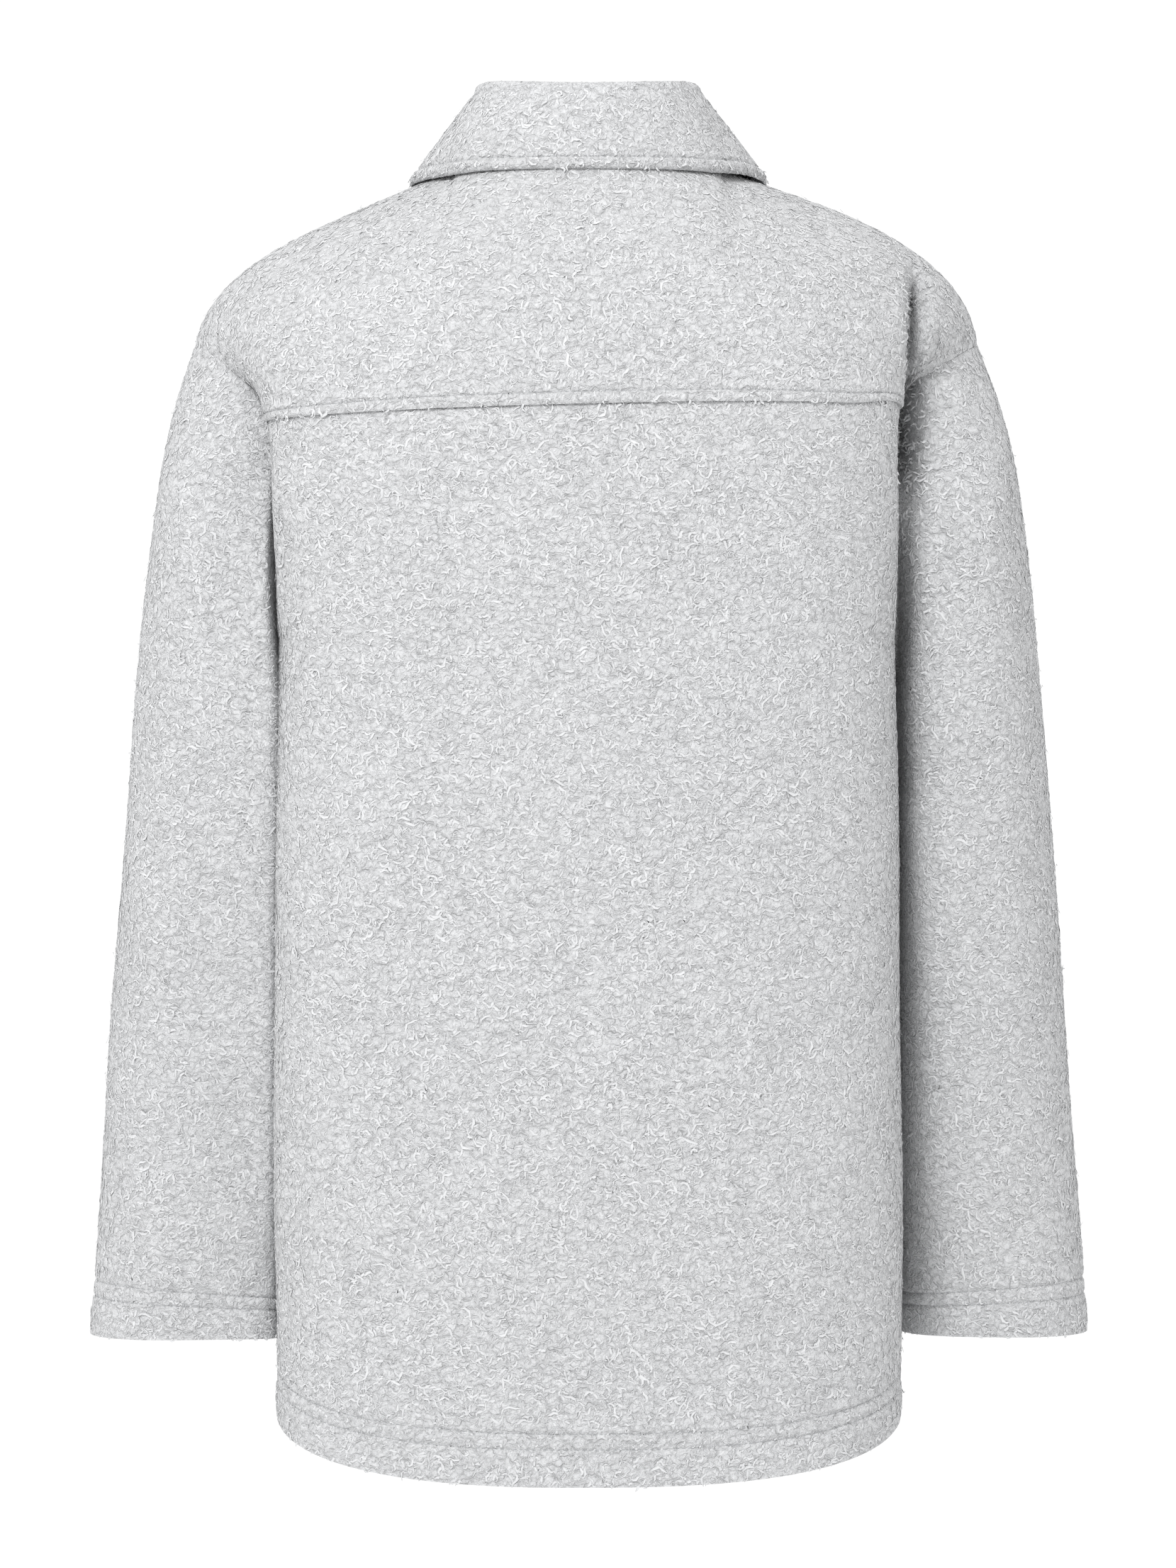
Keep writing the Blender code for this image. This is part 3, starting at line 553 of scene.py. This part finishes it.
def trimmed(*distances):
    """Curls are short beside a row of stitching or a seam."""
    nearest = np.minimum.reduce([np.abs(d) for d in distances])
    return np.clip(TRIM_LEAST + nearest / TRIM_REACH, TRIM_LEAST, 1.0)


def puffed(distance, height, middle, width):
    """Cloth swells a little between an edge and its row of stitches."""
    return height * np.exp(-(((distance - middle) / width) ** 2))


back_shares = sorted({*(2 * s - 1 for s in steps(96)), *(e * (0.82 + 0.18 * s) for s in steps(24) for e in (-1, 1))})
LEVEL_PER_M = 1.0 / 0.62
HEM_PUFF, CUFF_PUFF, PUFF_AT = 0.0007, 0.0006, (0.010, 0.008)
back_rows = [height * LEVEL_PER_M for height in HEM_ROWS]
back_levels = steps(148, back_rows, STITCH_WIDE * LEVEL_PER_M * 0.8)
back_grid = grid_of(back_point, back_shares, back_levels)
back_normals = normals_of(back_grid, (0, 1, 0))
back_grid = creased(back_grid, back_normals)
hem_up = from_edge(back_grid, 1, 0)
back_side = np.minimum(from_edge(back_grid, 0, 0), from_edge(back_grid, 0, 1))
stitched = [np.abs(np.array(back_levels) - row)[None, :] / LEVEL_PER_M + 0 * hem_up for row in back_rows]
dip = sunk(back_side, SEAM_SINK, SEAM_WIDE) + sum(sunk(d, STITCH_SINK, STITCH_WIDE) for d in stitched)
dip += sunk(from_edge(back_grid, 1, 1), SEAM_SINK, SEAM_WIDE) - puffed(hem_up, HEM_PUFF, *PUFF_AT)
back_grid = back_grid - back_normals * dip[..., None]
back = cloth("wool_back", back_grid, back_normals, hem_walls(hem_up))
shortened = trimmed(back_side, hem_up + EDGE_OFF, *stitched)
back_curls = nap("curls_back", back_grid, back_normals, 11, shortened, lay=-0.35)
back_rows_sewn = stitches("stitches_back", [
    (back_grid[:, back_levels.index(round(row, 6))], back_normals[:, back_levels.index(round(row, 6))])
    for row in back_rows
])
sew_on(back, "back", back_grid, with_pieces=[back_curls, back_rows_sewn])

# Back yoke: the panel over the shoulder blades, one layer of the same wool, cut to the neck and both shoulders.
# Its lower edge is folded under and stitched down over the back, so it stands proud as a soft lip.
LAP, LAP_DEPTH, YOKE_ROW = 0.0017, 0.010, 0.0074
SHOULDER_SQUARE = {1: 0.000, -1: 0.006}
NECK_BACK, NECK_SIDE, NECK_FRONT = (
    Vector((0.0, 0.068, 0.0)), Vector((0.078, -0.002, -0.007)), Vector((0.0, -0.088, -0.066))
)
SHOULDER_BEND = (Vector((0.150, -0.003, -0.036)), Vector((0.222, -0.006, -0.060)))
NECK_SHARE = 0.27


def neck_back(turn):
    """The back half of the neck seam: 0 at the centre back, 1 at the side."""
    angle = turn * math.pi / 2
    y = NECK_SIDE.y + (NECK_BACK.y - NECK_SIDE.y) * math.cos(angle)
    return Vector((NECK_SIDE.x * math.sin(angle), y, NECK_SIDE.z * math.sin(angle) ** 2))


def neck_front(turn):
    """The front half of the neck seam: 0 at the centre front, 1 at the side."""
    angle = turn * math.pi / 2
    y = NECK_SIDE.y + (NECK_FRONT.y - NECK_SIDE.y) * math.cos(angle)
    z = NECK_SIDE.z + (NECK_FRONT.z - NECK_SIDE.z) * math.cos(angle) ** 2
    return Vector((NECK_SIDE.x * math.sin(angle), y, z))


def top_edge(across, neck, side):
    """The upper edge of a body panel: along the neck, then down the shoulder to the armhole."""
    if across <= NECK_SHARE:
        return neck(across / NECK_SHARE)
    square = Vector((0.45, 0.0, 1.0)) * SHOULDER_SQUARE[side]
    inner, outer = SHOULDER_BEND
    way = (across - NECK_SHARE) / (1.0 - NECK_SHARE)
    return bezier(NECK_SIDE, inner, outer + 1.4 * square, armhole(0.5, side), way)


def cap(low, top, across, facing, t):
    """From an upright row up and over to the neck and shoulder. facing is 1 at the back and -1 at the front."""
    rise = top.z - low.z
    to_neck = 1.0 - ease(across / NECK_SHARE)
    first = low + Vector((0.0, 0.0, 0.52 * rise))
    out = 0.45 * (low.y - top.y) * facing
    second = top + Vector((0.0, facing * out * (1.0 - 0.35 * to_neck), -0.26 * rise * to_neck - 0.004))
    return bezier(low, first, second, top, t)


def yoke_point(across, t):
    side, a = (1 if across >= 0 else -1), abs(across)

    def plain(share):
        return cap(back_half(side, share, 1.0), top_edge(share, neck_back, side), share, 1, t)

    point = plain(a)
    edge = armhole(0.25 + 0.25 * t, side)
    point += (edge - plain(1.0)) * ease((a - 0.45) / 0.55)
    return Vector((side * point.x, point.y, point.z))


YOKE_PER_M = 1.0 / 0.257
yoke_row = YOKE_ROW * YOKE_PER_M
yoke_levels = sorted({*steps(44, [yoke_row], STITCH_WIDE * YOKE_PER_M * 0.8), 0.0025, 0.006, 0.011, 0.056, 0.068})
yoke_grid = grid_of(yoke_point, back_shares, yoke_levels)
yoke_normals = normals_of(yoke_grid, (0, 1, 0.6))
yoke_grid = creased(yoke_grid, yoke_normals)
lip_up = from_edge(yoke_grid, 1, 0)
yoke_side = np.minimum(from_edge(yoke_grid, 0, 0), from_edge(yoke_grid, 0, 1))
yoke_top = from_edge(yoke_grid, 1, 1)
row_off = np.abs(np.array(yoke_levels) - yoke_row)[None, :] / YOKE_PER_M + 0 * lip_up
lip = LAP * np.clip(1.4 - lip_up / LAP_DEPTH, 0.0, 1.0) * (1.0 - 0.5 * np.exp(-((lip_up / 0.0009) ** 2)))
dip = sunk(yoke_side, SET_IN, SEAM_WIDE) + sunk(yoke_top, SEAM_SINK, SEAM_WIDE)
dip += sunk(row_off, STITCH_SINK, STITCH_WIDE) - lip
yoke_grid = yoke_grid - yoke_normals * dip[..., None]
yoke = cloth("wool_back_yoke", yoke_grid, yoke_normals, WALL + np.maximum(lip, 0.0))
yoke_curls = nap("curls_back_yoke", yoke_grid, yoke_normals, 12, trimmed(yoke_top, row_off), lay=-1.1)
k = yoke_levels.index(round(yoke_row, 6))
yoke_sewn = stitches("stitches_back_yoke", [(yoke_grid[:, k], yoke_normals[:, k])])
sew_on(yoke, "back_yoke", yoke_grid, with_pieces=[yoke_curls, yoke_sewn])

# Fronts: two plain panels of the same wool from the neck and shoulder to the curved hem, with no pocket. The
# wearer's left one laps over the right one, and each edge is turned in and held by one row of stitches.
FRONT_ROWS = (
    (0.000, -0.152, 0.0240, 0.120, 0.176, -0.100),
    (0.200, -0.150, 0.0120, 0.120, 0.175, -0.100),
    (0.500, -0.146, 0.0030, 0.118, 0.173, -0.098),
    (0.727, -0.142, 0.0020, 0.116, 0.170, -0.094),
    (1.000, -0.130, -0.0120, 0.112, 0.176, -0.112),
)
FRONT_UNDERARM, FRONT_CHEST = 11 / 21, 16 / 21
OVERLAP, UNDER_GAP, EDGE_ROW = 0.045, 0.0010, 0.0080
UNDER_FROM, UNDER_RUN, FRONT_FOLD = 0.125, 0.065, 0.010   # the right front steps under, and the fold at each edge


def front_point(across, level, side=1):
    """A front, with out as a positive size on both sides. Below 0, across laps past the centre."""
    if level <= FRONT_UNDERARM:
        seam = Vector(smooth(SIDE_SEAM, level / FRONT_UNDERARM))
    else:
        seam = armhole(1.0 - 0.5 * (level - FRONT_UNDERARM) / (1.0 - FRONT_UNDERARM), side)
    if level <= FRONT_CHEST:
        return panel_row(FRONT_ROWS, level / FRONT_CHEST, seam, across)
    t = (level - FRONT_CHEST) / (1.0 - FRONT_CHEST)
    chest = armhole(0.75, side)

    def plain(share):
        low = panel_row(FRONT_ROWS, 1.0, chest, share)
        return cap(low, top_edge(share, neck_front, side), max(share, 0.0), -1, t)

    point = plain(across)
    point += (armhole(0.75 - 0.25 * t, side) - plain(1.0)) * ease((across - 0.45) / 0.55)
    return point


FRONT_PER_M = FRONT_UNDERARM / 0.456
front_rows = [height * FRONT_PER_M for height in HEM_ROWS]
front_levels = steps(176, front_rows, STITCH_WIDE * FRONT_PER_M * 0.8)
ACROSS_PER_M = 1.0 / 0.40
edge_row = OVERLAP - EDGE_ROW * ACROSS_PER_M
front_shares = sorted({
    *(round(s * (1 + OVERLAP) - OVERLAP, 6) for s in steps(76)),
    *(round(-edge_row + k * STITCH_WIDE * 0.8 * ACROSS_PER_M, 6) for k in (-2, -1, 0, 1, 2)),
})
# Buttons and their holes: levels of the panel, and the slit from the button's shank away from the edge
BUTTON_LEVELS = [0.10 + 0.16 * k for k in range(6)]
SLIT_FROM, SLIT_TO = 0.0060, 0.0225
button_spots = [front_point(0.0, level) for level in BUTTON_LEVELS]
for name, side in (("left", 1), ("right", -1)):
    grid = grid_of(lambda a, u: front_point(a, u, side), front_shares, front_levels)
    normals = normals_of(grid, (0, -1, 0.3))
    up = from_edge(grid, 1, 0)
    if side < 0:
        under = np.array([ease((UNDER_FROM - a) / UNDER_RUN) for a in front_shares])[:, None]
        grid = grid - normals * ((hem_walls(up) + UNDER_GAP) * under)[..., None]
    grid, normals = grid * (side, 1, 1), normals * (side, 1, 1)
    grid = creased(grid, normals)
    side_in, edge_in, top_in = from_edge(grid, 0, 1), from_edge(grid, 0, 0), from_edge(grid, 1, 1)
    rows_off = [np.abs(np.array(front_levels) - row)[None, :] / FRONT_PER_M + 0 * up for row in front_rows]
    edge_off = np.abs(np.array(front_shares) + edge_row)[:, None] / ACROSS_PER_M + 0 * up
    dip = sunk(side_in, SEAM_SINK, SEAM_WIDE) + sunk(top_in, SEAM_SINK, SEAM_WIDE)
    dip += sum(sunk(d, STITCH_SINK, STITCH_WIDE) for d in rows_off) + sunk(edge_off, STITCH_SINK, STITCH_WIDE)
    grid = grid - normals * dip[..., None]
    front = cloth(f"wool_front_{name}", grid, normals, hem_walls(np.minimum(up, edge_in + FRONT_FOLD)))
    off_slits = [np.hypot(
        np.maximum(np.abs(grid[..., 0] - (SLIT_FROM + SLIT_TO) / 2) - (SLIT_TO - SLIT_FROM) / 2, 0.0),
        grid[..., 2] - spot.z,
    ) - EDGE_OFF for spot in button_spots]
    off_slits = [np.maximum(d, 0.0) for d in off_slits]
    shortened = trimmed(side_in, top_in, edge_off, up + EDGE_OFF, *rows_off, *off_slits)
    curls = nap(f"curls_front_{name}", grid, normals, 13 + side, shortened, lay=-0.5)
    if side > 0:
        buttoned, buttoned_normals = grid, normals
    paths = [(grid[:, k], normals[:, k]) for k in (front_levels.index(round(row, 6)) for row in front_rows)]
    k = front_shares.index(round(-edge_row, 6))
    paths.append((grid[k, :], normals[k, :]))
    sewn = stitches(f"stitches_front_{name}", paths)
    sew_on(front, f"front_{name}", grid, with_pieces=[curls, sewn])

# Sleeves: one panel each, sewn to a tube under the arm and set into the dropped armhole. They hang almost straight
# down, the left one close against the body, and end in a plain turned hem with the same two rows as the body's.
SLEEVE_ROWS = (
    (0.00, 0.2345, -0.113, 0.1690, -0.290, -0.008, 0.065),
    (0.08, 0.2485, -0.156, 0.1790, -0.318, -0.010, 0.074),
    (0.20, 0.2590, -0.214, 0.1815, -0.356, -0.014, 0.079),
    (0.40, 0.2725, -0.330, 0.1820, -0.440, -0.022, 0.078),
    (0.60, 0.2825, -0.454, 0.1820, -0.527, -0.030, 0.074),
    (0.80, 0.2905, -0.580, 0.1825, -0.614, -0.036, 0.068),
    (1.00, 0.2980, -0.706, 0.1840, -0.705, -0.040, 0.062),
)
SWING, SPREAD = {1: 0.012, -1: -0.008}, {1: 0.0, -1: 0.0025}
UNDERARM_CLEAR, CAP_LEVEL = 0.0010, 0.15
FLATNESS = {1: 0.26, -1: 0.70}       # under 1 the section is squarer than an ellipse, at the back near the body
NESTLE = {1: 0.0036, -1: 0.0}        # how far that corner lies against the body


def sleeve_point(turn, level, side):
    """turn goes once round, from the underarm over the back."""

    def tube(at):
        out_x, out_z, in_x, in_z, middle, depth = smooth(SLEEVE_ROWS, at)
        angle = 2.0 * math.pi * turn
        c, s = math.cos(angle), math.sin(angle)
        corner = FLATNESS[side] if c > 0 and s > 0 else 0.92
        c, s = (math.copysign(abs(k) ** corner, k) for k in (c, s))
        x = (out_x + in_x) / 2 - (out_x - in_x) / 2 * c + SPREAD[side] * at
        x -= NESTLE[side] * max(0.0, c) * max(0.0, s) * ease(at / CAP_LEVEL)
        z = (out_z + in_z) / 2 - (out_z - in_z) / 2 * c
        return Vector((x, middle + SWING[side] * at + depth * s, z))

    point = tube(level) + (armhole(turn, side) - tube(0.0)) * (1.0 - ease(level / CAP_LEVEL))
    from_underarm = min(turn % 1.0, 1.0 - turn % 1.0)
    point.x += UNDERARM_CLEAR * ease((0.24 - from_underarm) / 0.06) * (1.0 - ease(level / CAP_LEVEL))
    return Vector((side * point.x, point.y, point.z))


SLEEVE_PER_M = 1.0 / 0.52
cuff_rows = [1.0 - height * SLEEVE_PER_M for height in HEM_ROWS]
sleeve_levels = steps(132, cuff_rows, STITCH_WIDE * SLEEVE_PER_M * 0.8)
sleeve_turns = steps(96)
for name, side in (("left", 1), ("right", -1)):
    grid = grid_of(lambda turn, level: sleeve_point(turn, level, side), sleeve_turns, sleeve_levels)
    middle = grid[:-1].mean(axis=0)
    normals = normals_of(grid, lambda points: points - middle[None], closed=True)
    grid = creased(grid, normals)
    grid[-1] = grid[0]
    top_in, cuff_up = from_edge(grid, 1, 0), from_edge(grid, 1, 1)
    rows_off = [np.abs(np.array(sleeve_levels) - row)[None, :] / SLEEVE_PER_M + 0 * cuff_up for row in cuff_rows]
    dip = sunk(top_in, SET_IN, SEAM_WIDE) + sum(sunk(d, STITCH_SINK, STITCH_WIDE) for d in rows_off)
    dip -= puffed(cuff_up, CUFF_PUFF, *PUFF_AT)
    grid = grid - normals * dip[..., None]
    sleeve = cloth(f"wool_sleeve_{name}", grid, normals, hem_walls(cuff_up), closed=True)
    curls = nap(f"curls_sleeve_{name}", grid, normals, 17 + side, trimmed(cuff_up + EDGE_OFF, *rows_off), lay=-0.7)
    paths = [(grid[:, k], normals[:, k]) for k in (sleeve_levels.index(round(row, 6)) for row in cuff_rows)]
    sewn = stitches(f"stitches_sleeve_{name}", paths)
    sew_on(sleeve, f"sleeve_{name}", grid, with_pieces=[curls, sewn])

# Collar stand: the upright band of the same wool that is sewn to the neck and carries the collar.
STAND_TOP = (Vector((0.0, 0.058, 0.0275)), Vector((0.0615, -0.003, 0.0330)), Vector((0.0, -0.081, -0.036)))
FRONT_LIFT, STAND_END = 0.0008, 0.985


def ring(back_at, flank, front_at, turn):
    """Half a ring round the neck, from the centre back (0) by the side (0.5) to the centre front (1)."""
    angle = turn * math.pi
    y_half = back_at.y - flank.y if turn < 0.5 else flank.y - front_at.y
    end = back_at if turn < 0.5 else front_at
    z = flank.z + (end.z - flank.z) * math.cos(angle) ** 2
    return Vector((flank.x * math.sin(angle), flank.y + y_half * math.cos(angle), z))


def stand_point(turn, height):
    side, a = (1 if turn >= 0 else -1), abs(turn)
    low = neck_back(2 * a) if a <= 0.5 else neck_front(2 - 2 * a)
    point = low.lerp(ring(*STAND_TOP, a), height)
    point.z += FRONT_LIFT * ease((a - 0.84) / 0.08) * (1.0 - height)
    return Vector((side * point.x, point.y, point.z))


stand_grid = grid_of(stand_point, [STAND_END * (2 * s - 1) for s in steps(120)], steps(10))
stand_normals = normals_of(stand_grid, lambda points: points * (1, 1, 0))
stand = cloth("wool_collar_stand", stand_grid, stand_normals, np.full(stand_grid.shape[:2], WALL))
stand_curls = nap("curls_collar_stand", stand_grid, stand_normals, 21, density=0.5)
sew_on(stand, "collar_stand", stand_grid, with_pieces=[stand_curls])

# Collar: the leaf of doubled wool that folds over the stand and lies on the yoke, level at the back and running
# down to a point at each front. A row of stitches follows its edge, which rolls up a little.
COLLAR_WALL, COLLAR_BELLY, ROLL, RISE, FRONT_GAP = 0.0036, 0.0006, 0.0016, 0.0040, 0.004
COLLAR_EDGE_UP = -0.0185
COLLAR_EDGE_BACK = ((0.00, 0.000, 0.0062), (0.25, 0.200, 0.0054), (0.50, 0.378, 0.0038))
GAPE, GAPE_AT, GAPE_WIDE = {1: 0.0000, -1: 0.0030}, 0.42, 0.11      # where the leaf stands off the shoulder
COLLAR_EDGE_FRONT = ((0.50, 0.378, 1.000, 0.0038), (0.75, 0.330, 0.760, 0.0066), (1.00, 0.170, 0.380, 0.0072))
ROLL_STEPS, FALL_STEPS = 4, 4
COLLAR_ROW = 0.0085
COLLAR_PUFF, COLLAR_PUFF_AT = 0.0005, (0.004, 0.0035)
EDGE_SINK, EDGE_THIN, ROLLED_FROM, ROLLED_OFF = (0.0020, 0.0020), (0.0022, 0.0024), 0.019, 0.0010


def surface_normal(surface, across, level, outward):
    step = 0.004
    run = surface(across + step, level) - surface(across - step, level)
    rise = surface(across, min(level + step, 1.0)) - surface(across, level - step)
    normal = run.cross(rise).normalized()
    return normal if normal.dot(outward) > 0 else -normal


@functools.lru_cache(maxsize=None)
def laid_at(turn, side):
    """Where the collar's lower edge would lie on the yoke and the fronts, lifted off them."""
    if turn <= 0.5:
        across, lift = smooth(COLLAR_EDGE_BACK, turn)
        lift += GAPE[side] * math.exp(-(((turn - GAPE_AT) / GAPE_WIDE) ** 2))
        low, high = 0.5, 1.0
        for _ in range(14):
            up = (low + high) / 2
            low, high = (up, high) if yoke_point(across, up).z < COLLAR_EDGE_UP else (low, up)
        return tuple(yoke_point(across, up) + surface_normal(yoke_point, across, up, Vector((0, 1, 0.5))) * lift)
    across, up, lift = smooth(COLLAR_EDGE_FRONT, turn)
    level = FRONT_CHEST + (1.0 - FRONT_CHEST) * up
    return tuple(front_point(across, level) + surface_normal(front_point, across, level, Vector((0, -1, 0.5))) * lift)


@functools.lru_cache(maxsize=None)
def collar_edge_at(turn, side):
    """Lower edge of the collar: its thick cloth rounds off what it lies on."""
    spread = min(0.035, (1.0 - turn) / 2.0)
    spots = [(k, np.array(laid_at(round(abs(turn + k * spread), 5), side))) for k in (-2, -1, 0, 1, 2)]
    return tuple(sum(spot * (np.sign(turn + k * spread) or 1.0, 1.0, 1.0) for k, spot in spots) / 5)


def collar_point(turn, way):
    """way goes up off the stand, over the fold and down to the edge; the surface is the side that shows."""
    side, a = (1 if turn >= 0 else -1), abs(turn)
    top = ring(*STAND_TOP, a)
    ahead, behind = ring(*STAND_TOP, min(a + 0.02, 1.0)), ring(*STAND_TOP, max(a - 0.02, 0.0))
    along = (ahead - behind).normalized()
    out = Vector((-along.y, along.x, 0.0))
    out = -out.normalized() if out.dot(Vector((top.x, top.y, 0.0))) < 0 else out.normalized()
    up = Vector((0.0, 0.0, 1.0))
    outer = ROLL + COLLAR_WALL
    middle = top + out * (ROLL - (COLLAR_WALL - WALL) / 2) + up * RISE
    step = way * (1 + ROLL_STEPS + FALL_STEPS)
    if step <= 1:
        point = middle - out * outer - up * RISE * (1.0 - step)
    elif step <= 1 + ROLL_STEPS:
        angle = math.pi * (step - 1) / ROLL_STEPS
        point = middle + outer * (up * math.sin(angle) - out * math.cos(angle))
    else:
        t = (step - 1 - ROLL_STEPS) / FALL_STEPS
        first, last = middle + out * outer, Vector(collar_edge_at(a, side))
        belly = (last - first).cross(along).normalized() * COLLAR_BELLY
        belly = belly if belly.dot(out) > 0 else -belly
        point = first.lerp(last, t) + belly * 4 * t * (1 - t)
    point.x = max(point.x, FRONT_GAP) if a > 0.75 else point.x
    return Vector((side * point.x, point.y, point.z))


COLLAR_PER_M = (FALL_STEPS / (1 + ROLL_STEPS + FALL_STEPS)) / 0.062
collar_row = 1.0 - COLLAR_ROW * COLLAR_PER_M
collar_ways = steps(45, [collar_row], STITCH_WIDE * COLLAR_PER_M * 0.8)
collar_grid = grid_of(collar_point, [2 * s - 1 for s in steps(176)], collar_ways)
collar_normals = normals_of(collar_grid, lambda points: points * (1, 1, 0))
edge_up = from_edge(collar_grid, 1, 1)
row_off = np.abs(np.array(collar_ways) - collar_row)[None, :] / COLLAR_PER_M + 0 * edge_up
rolled = np.maximum(from_edge(collar_grid, 1, 0) - ROLLED_FROM, 0.0) + ROLLED_OFF
dip = sunk(row_off, STITCH_SINK, STITCH_WIDE) - puffed(edge_up, COLLAR_PUFF, *COLLAR_PUFF_AT)
dip += sunk(edge_up, *EDGE_SINK)
collar_grid = collar_grid - collar_normals * dip[..., None]
collar = cloth("wool_collar", collar_grid, collar_normals, COLLAR_WALL - sunk(edge_up, *EDGE_THIN))
shortened = trimmed(row_off, edge_up + 0.003, rolled)
collar_curls = nap("curls_collar", collar_grid, collar_normals, 22, shortened, lay=-1.0)
k = collar_ways.index(round(collar_row, 6))
collar_sewn = stitches("stitches_collar", [(collar_grid[:, k], collar_normals[:, k])])
sew_on(collar, "collar", collar_grid,
       with_pieces=[collar_curls, collar_sewn])

# Buttons: six turned discs of grey horn, sewn on with two bars of thread through their four holes. Each comes
# through a slit in the upper front whose edges are closely overstitched.
BUTTON_CLEAR, BUTTON_THICK, BUTTON_HOLE_OFF = 0.0008, 0.0038, 0.0022
BAR_RAISE, BAR_SIZES = 0.0014, (0.0030, 0.0005, 0.0006)
OVERSEW_STEP, OVERSEW_OFF, OVERSEW_SIZES = 0.0008, 0.0014, (0.0012, 0.00042, 0.00042)
HORN_DARK, HORN_LIGHT, SLIT_SHADE_TONE = (0.16, 0.16, 0.17, 1.0), (0.46, 0.46, 0.48, 1.0), (0.10, 0.10, 0.105, 1.0)
HORN, horn_shader, start = finish("grey_horn", 0.28)
grain = start.node("ShaderNodeTexNoise", values={
    "Vector": start.node("ShaderNodeTexCoord", out="Object"), "Scale": 130.0, "Detail": 5.0, "Distortion": 1.4,
})
feed(horn_shader, "Base Color", start.node(
    "ShaderNodeMix", {"data_type": "RGBA"}, {0: grain, 6: HORN_DARK, 7: HORN_LIGHT}, out=2
))
# Painted shade: a flat near-black for the shadow inside each buttonhole slit
SLIT, slit_shader, start = finish("slit_shade", 1.0)
slit_shader.inputs["Base Color"].default_value = SLIT_SHADE_TONE
sewn_bm, slit_shade_bm = bmesh.new(), bmesh.new()
for index, (level, spot) in enumerate(zip(BUTTON_LEVELS, button_spots)):
    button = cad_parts[f"button_{index + 1}"]
    button.data.materials.clear()
    button.data.materials.append(HORN)
    normal = surface_normal(front_point, 0.0, level, Vector((0, -1, 0)))
    turn = Vector((0, 0, 1)).rotation_difference(normal).to_matrix()
    for up in (-1, 1):
        bar = turn @ Vector((0.0, up * BUTTON_HOLE_OFF, BAR_RAISE)) + normal * (BUTTON_CLEAR + BUTTON_THICK / 2)
        bead(sewn_bm, spot + bar, turn @ Vector((1, 0, 0)), normal, BAR_SIZES)
    j = min(range(len(front_levels)), key=lambda k: abs(front_levels[k] - level))
    row, row_normals = buttoned[:, j], buttoned_normals[:, j]
    for x in np.arange(SLIT_FROM, SLIT_TO, OVERSEW_STEP):
        at = Vector([np.interp(x, row[:, 0], row[:, k]) for k in range(3)])
        out = Vector([np.interp(x, row[:, 0], row_normals[:, k]) for k in range(3)]).normalized()
        rise = (Vector((0, 0, 1)) - out * out.z).normalized()
        for up in (-1, 1):
            bead(sewn_bm, at + rise * up * OVERSEW_OFF + out * 0.0002, rise, out, OVERSEW_SIZES)
    middle = (SLIT_FROM + SLIT_TO) / 2
    at = Vector([np.interp(middle, row[:, 0], row[:, k]) for k in range(3)])
    out = Vector([np.interp(middle, row[:, 0], row_normals[:, k]) for k in range(3)]).normalized()
    # A thin dark lozenge along the slit is painted shade, standing for the shadow in its opening
    bead(slit_shade_bm, at, out.cross(Vector((0, 0, 1))).normalized(), out, ((SLIT_TO - SLIT_FROM) / 2, 0.00035, 0.0004))
buttonholes = piece_of("stitches_buttonholes", sewn_bm)
buttonholes.data.materials.append(THREAD)
slits = piece_of("buttonhole_slit_shade", slit_shade_bm)
slits.data.materials.append(SLIT)
for piece in (buttonholes, slits):
    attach(piece, "root")

# Studio: a pale floor well below the hem, an even white surround, and one large soft lamp high on the camera's left.
FLOOR_UP, FLOOR_HALF, FLOOR_TONE, WORLD_STRENGTH = -1.42, 30.0, (0.97, 0.97, 0.97, 1.0), 1.05
KEY_AT, KEY_AIM, KEY_SIZE, KEY_POWER = (1.0, 2.6, 1.8), (0.0, 0.0, -0.40), 1.1, 70.0
bm = bmesh.new()
level = Matrix.Translation((0.0, 0.0, FLOOR_UP))
bmesh.ops.create_grid(bm, x_segments=1, y_segments=1, size=FLOOR_HALF, matrix=level)
floor = piece_of("floor", bm)
FLOOR, floor_shader, start = finish("pale_floor", 0.9)
floor_shader.inputs["Base Color"].default_value = FLOOR_TONE
floor.data.materials.append(FLOOR)

scene = bpy.context.scene
world = bpy.data.worlds.new("surround")
world.use_nodes = True
world.node_tree.nodes["Background"].inputs["Color"].default_value = (1.0, 1.0, 1.0, 1.0)
world.node_tree.nodes["Background"].inputs["Strength"].default_value = WORLD_STRENGTH
scene.world = world
scene.view_settings.view_transform = "Standard"


def lamp(name, at, aim, size, power):
    light = bpy.data.lights.new(name, "AREA")
    light.shape, light.size, light.energy = "DISK", size, power
    made = bpy.data.objects.new(name, light)
    made.location = at
    made.rotation_euler = (Vector(aim) - Vector(at)).to_track_quat("-Z", "Y").to_euler()
    scene.collection.objects.link(made)


lamp("soft_key", KEY_AT, KEY_AIM, KEY_SIZE, KEY_POWER)

# Camera: level, straight behind the jacket, far enough off that the cuffs and the hem show almost in plan
CAMERA_AWAY, CAMERA_UP, SENSOR, FIELD_WIDE = 3.6, -0.376, 36.0, 1659 / 2360
lens = bpy.data.cameras.new("camera")
lens.sensor_fit, lens.sensor_width = "HORIZONTAL", SENSOR
lens.lens = SENSOR * CAMERA_AWAY / FIELD_WIDE
camera = bpy.data.objects.new("camera", lens)
camera.location = (0.0, CAMERA_AWAY, CAMERA_UP)
camera.rotation_euler = (math.pi / 2, 0.0, math.pi)
scene.collection.objects.link(camera)
scene.camera = camera
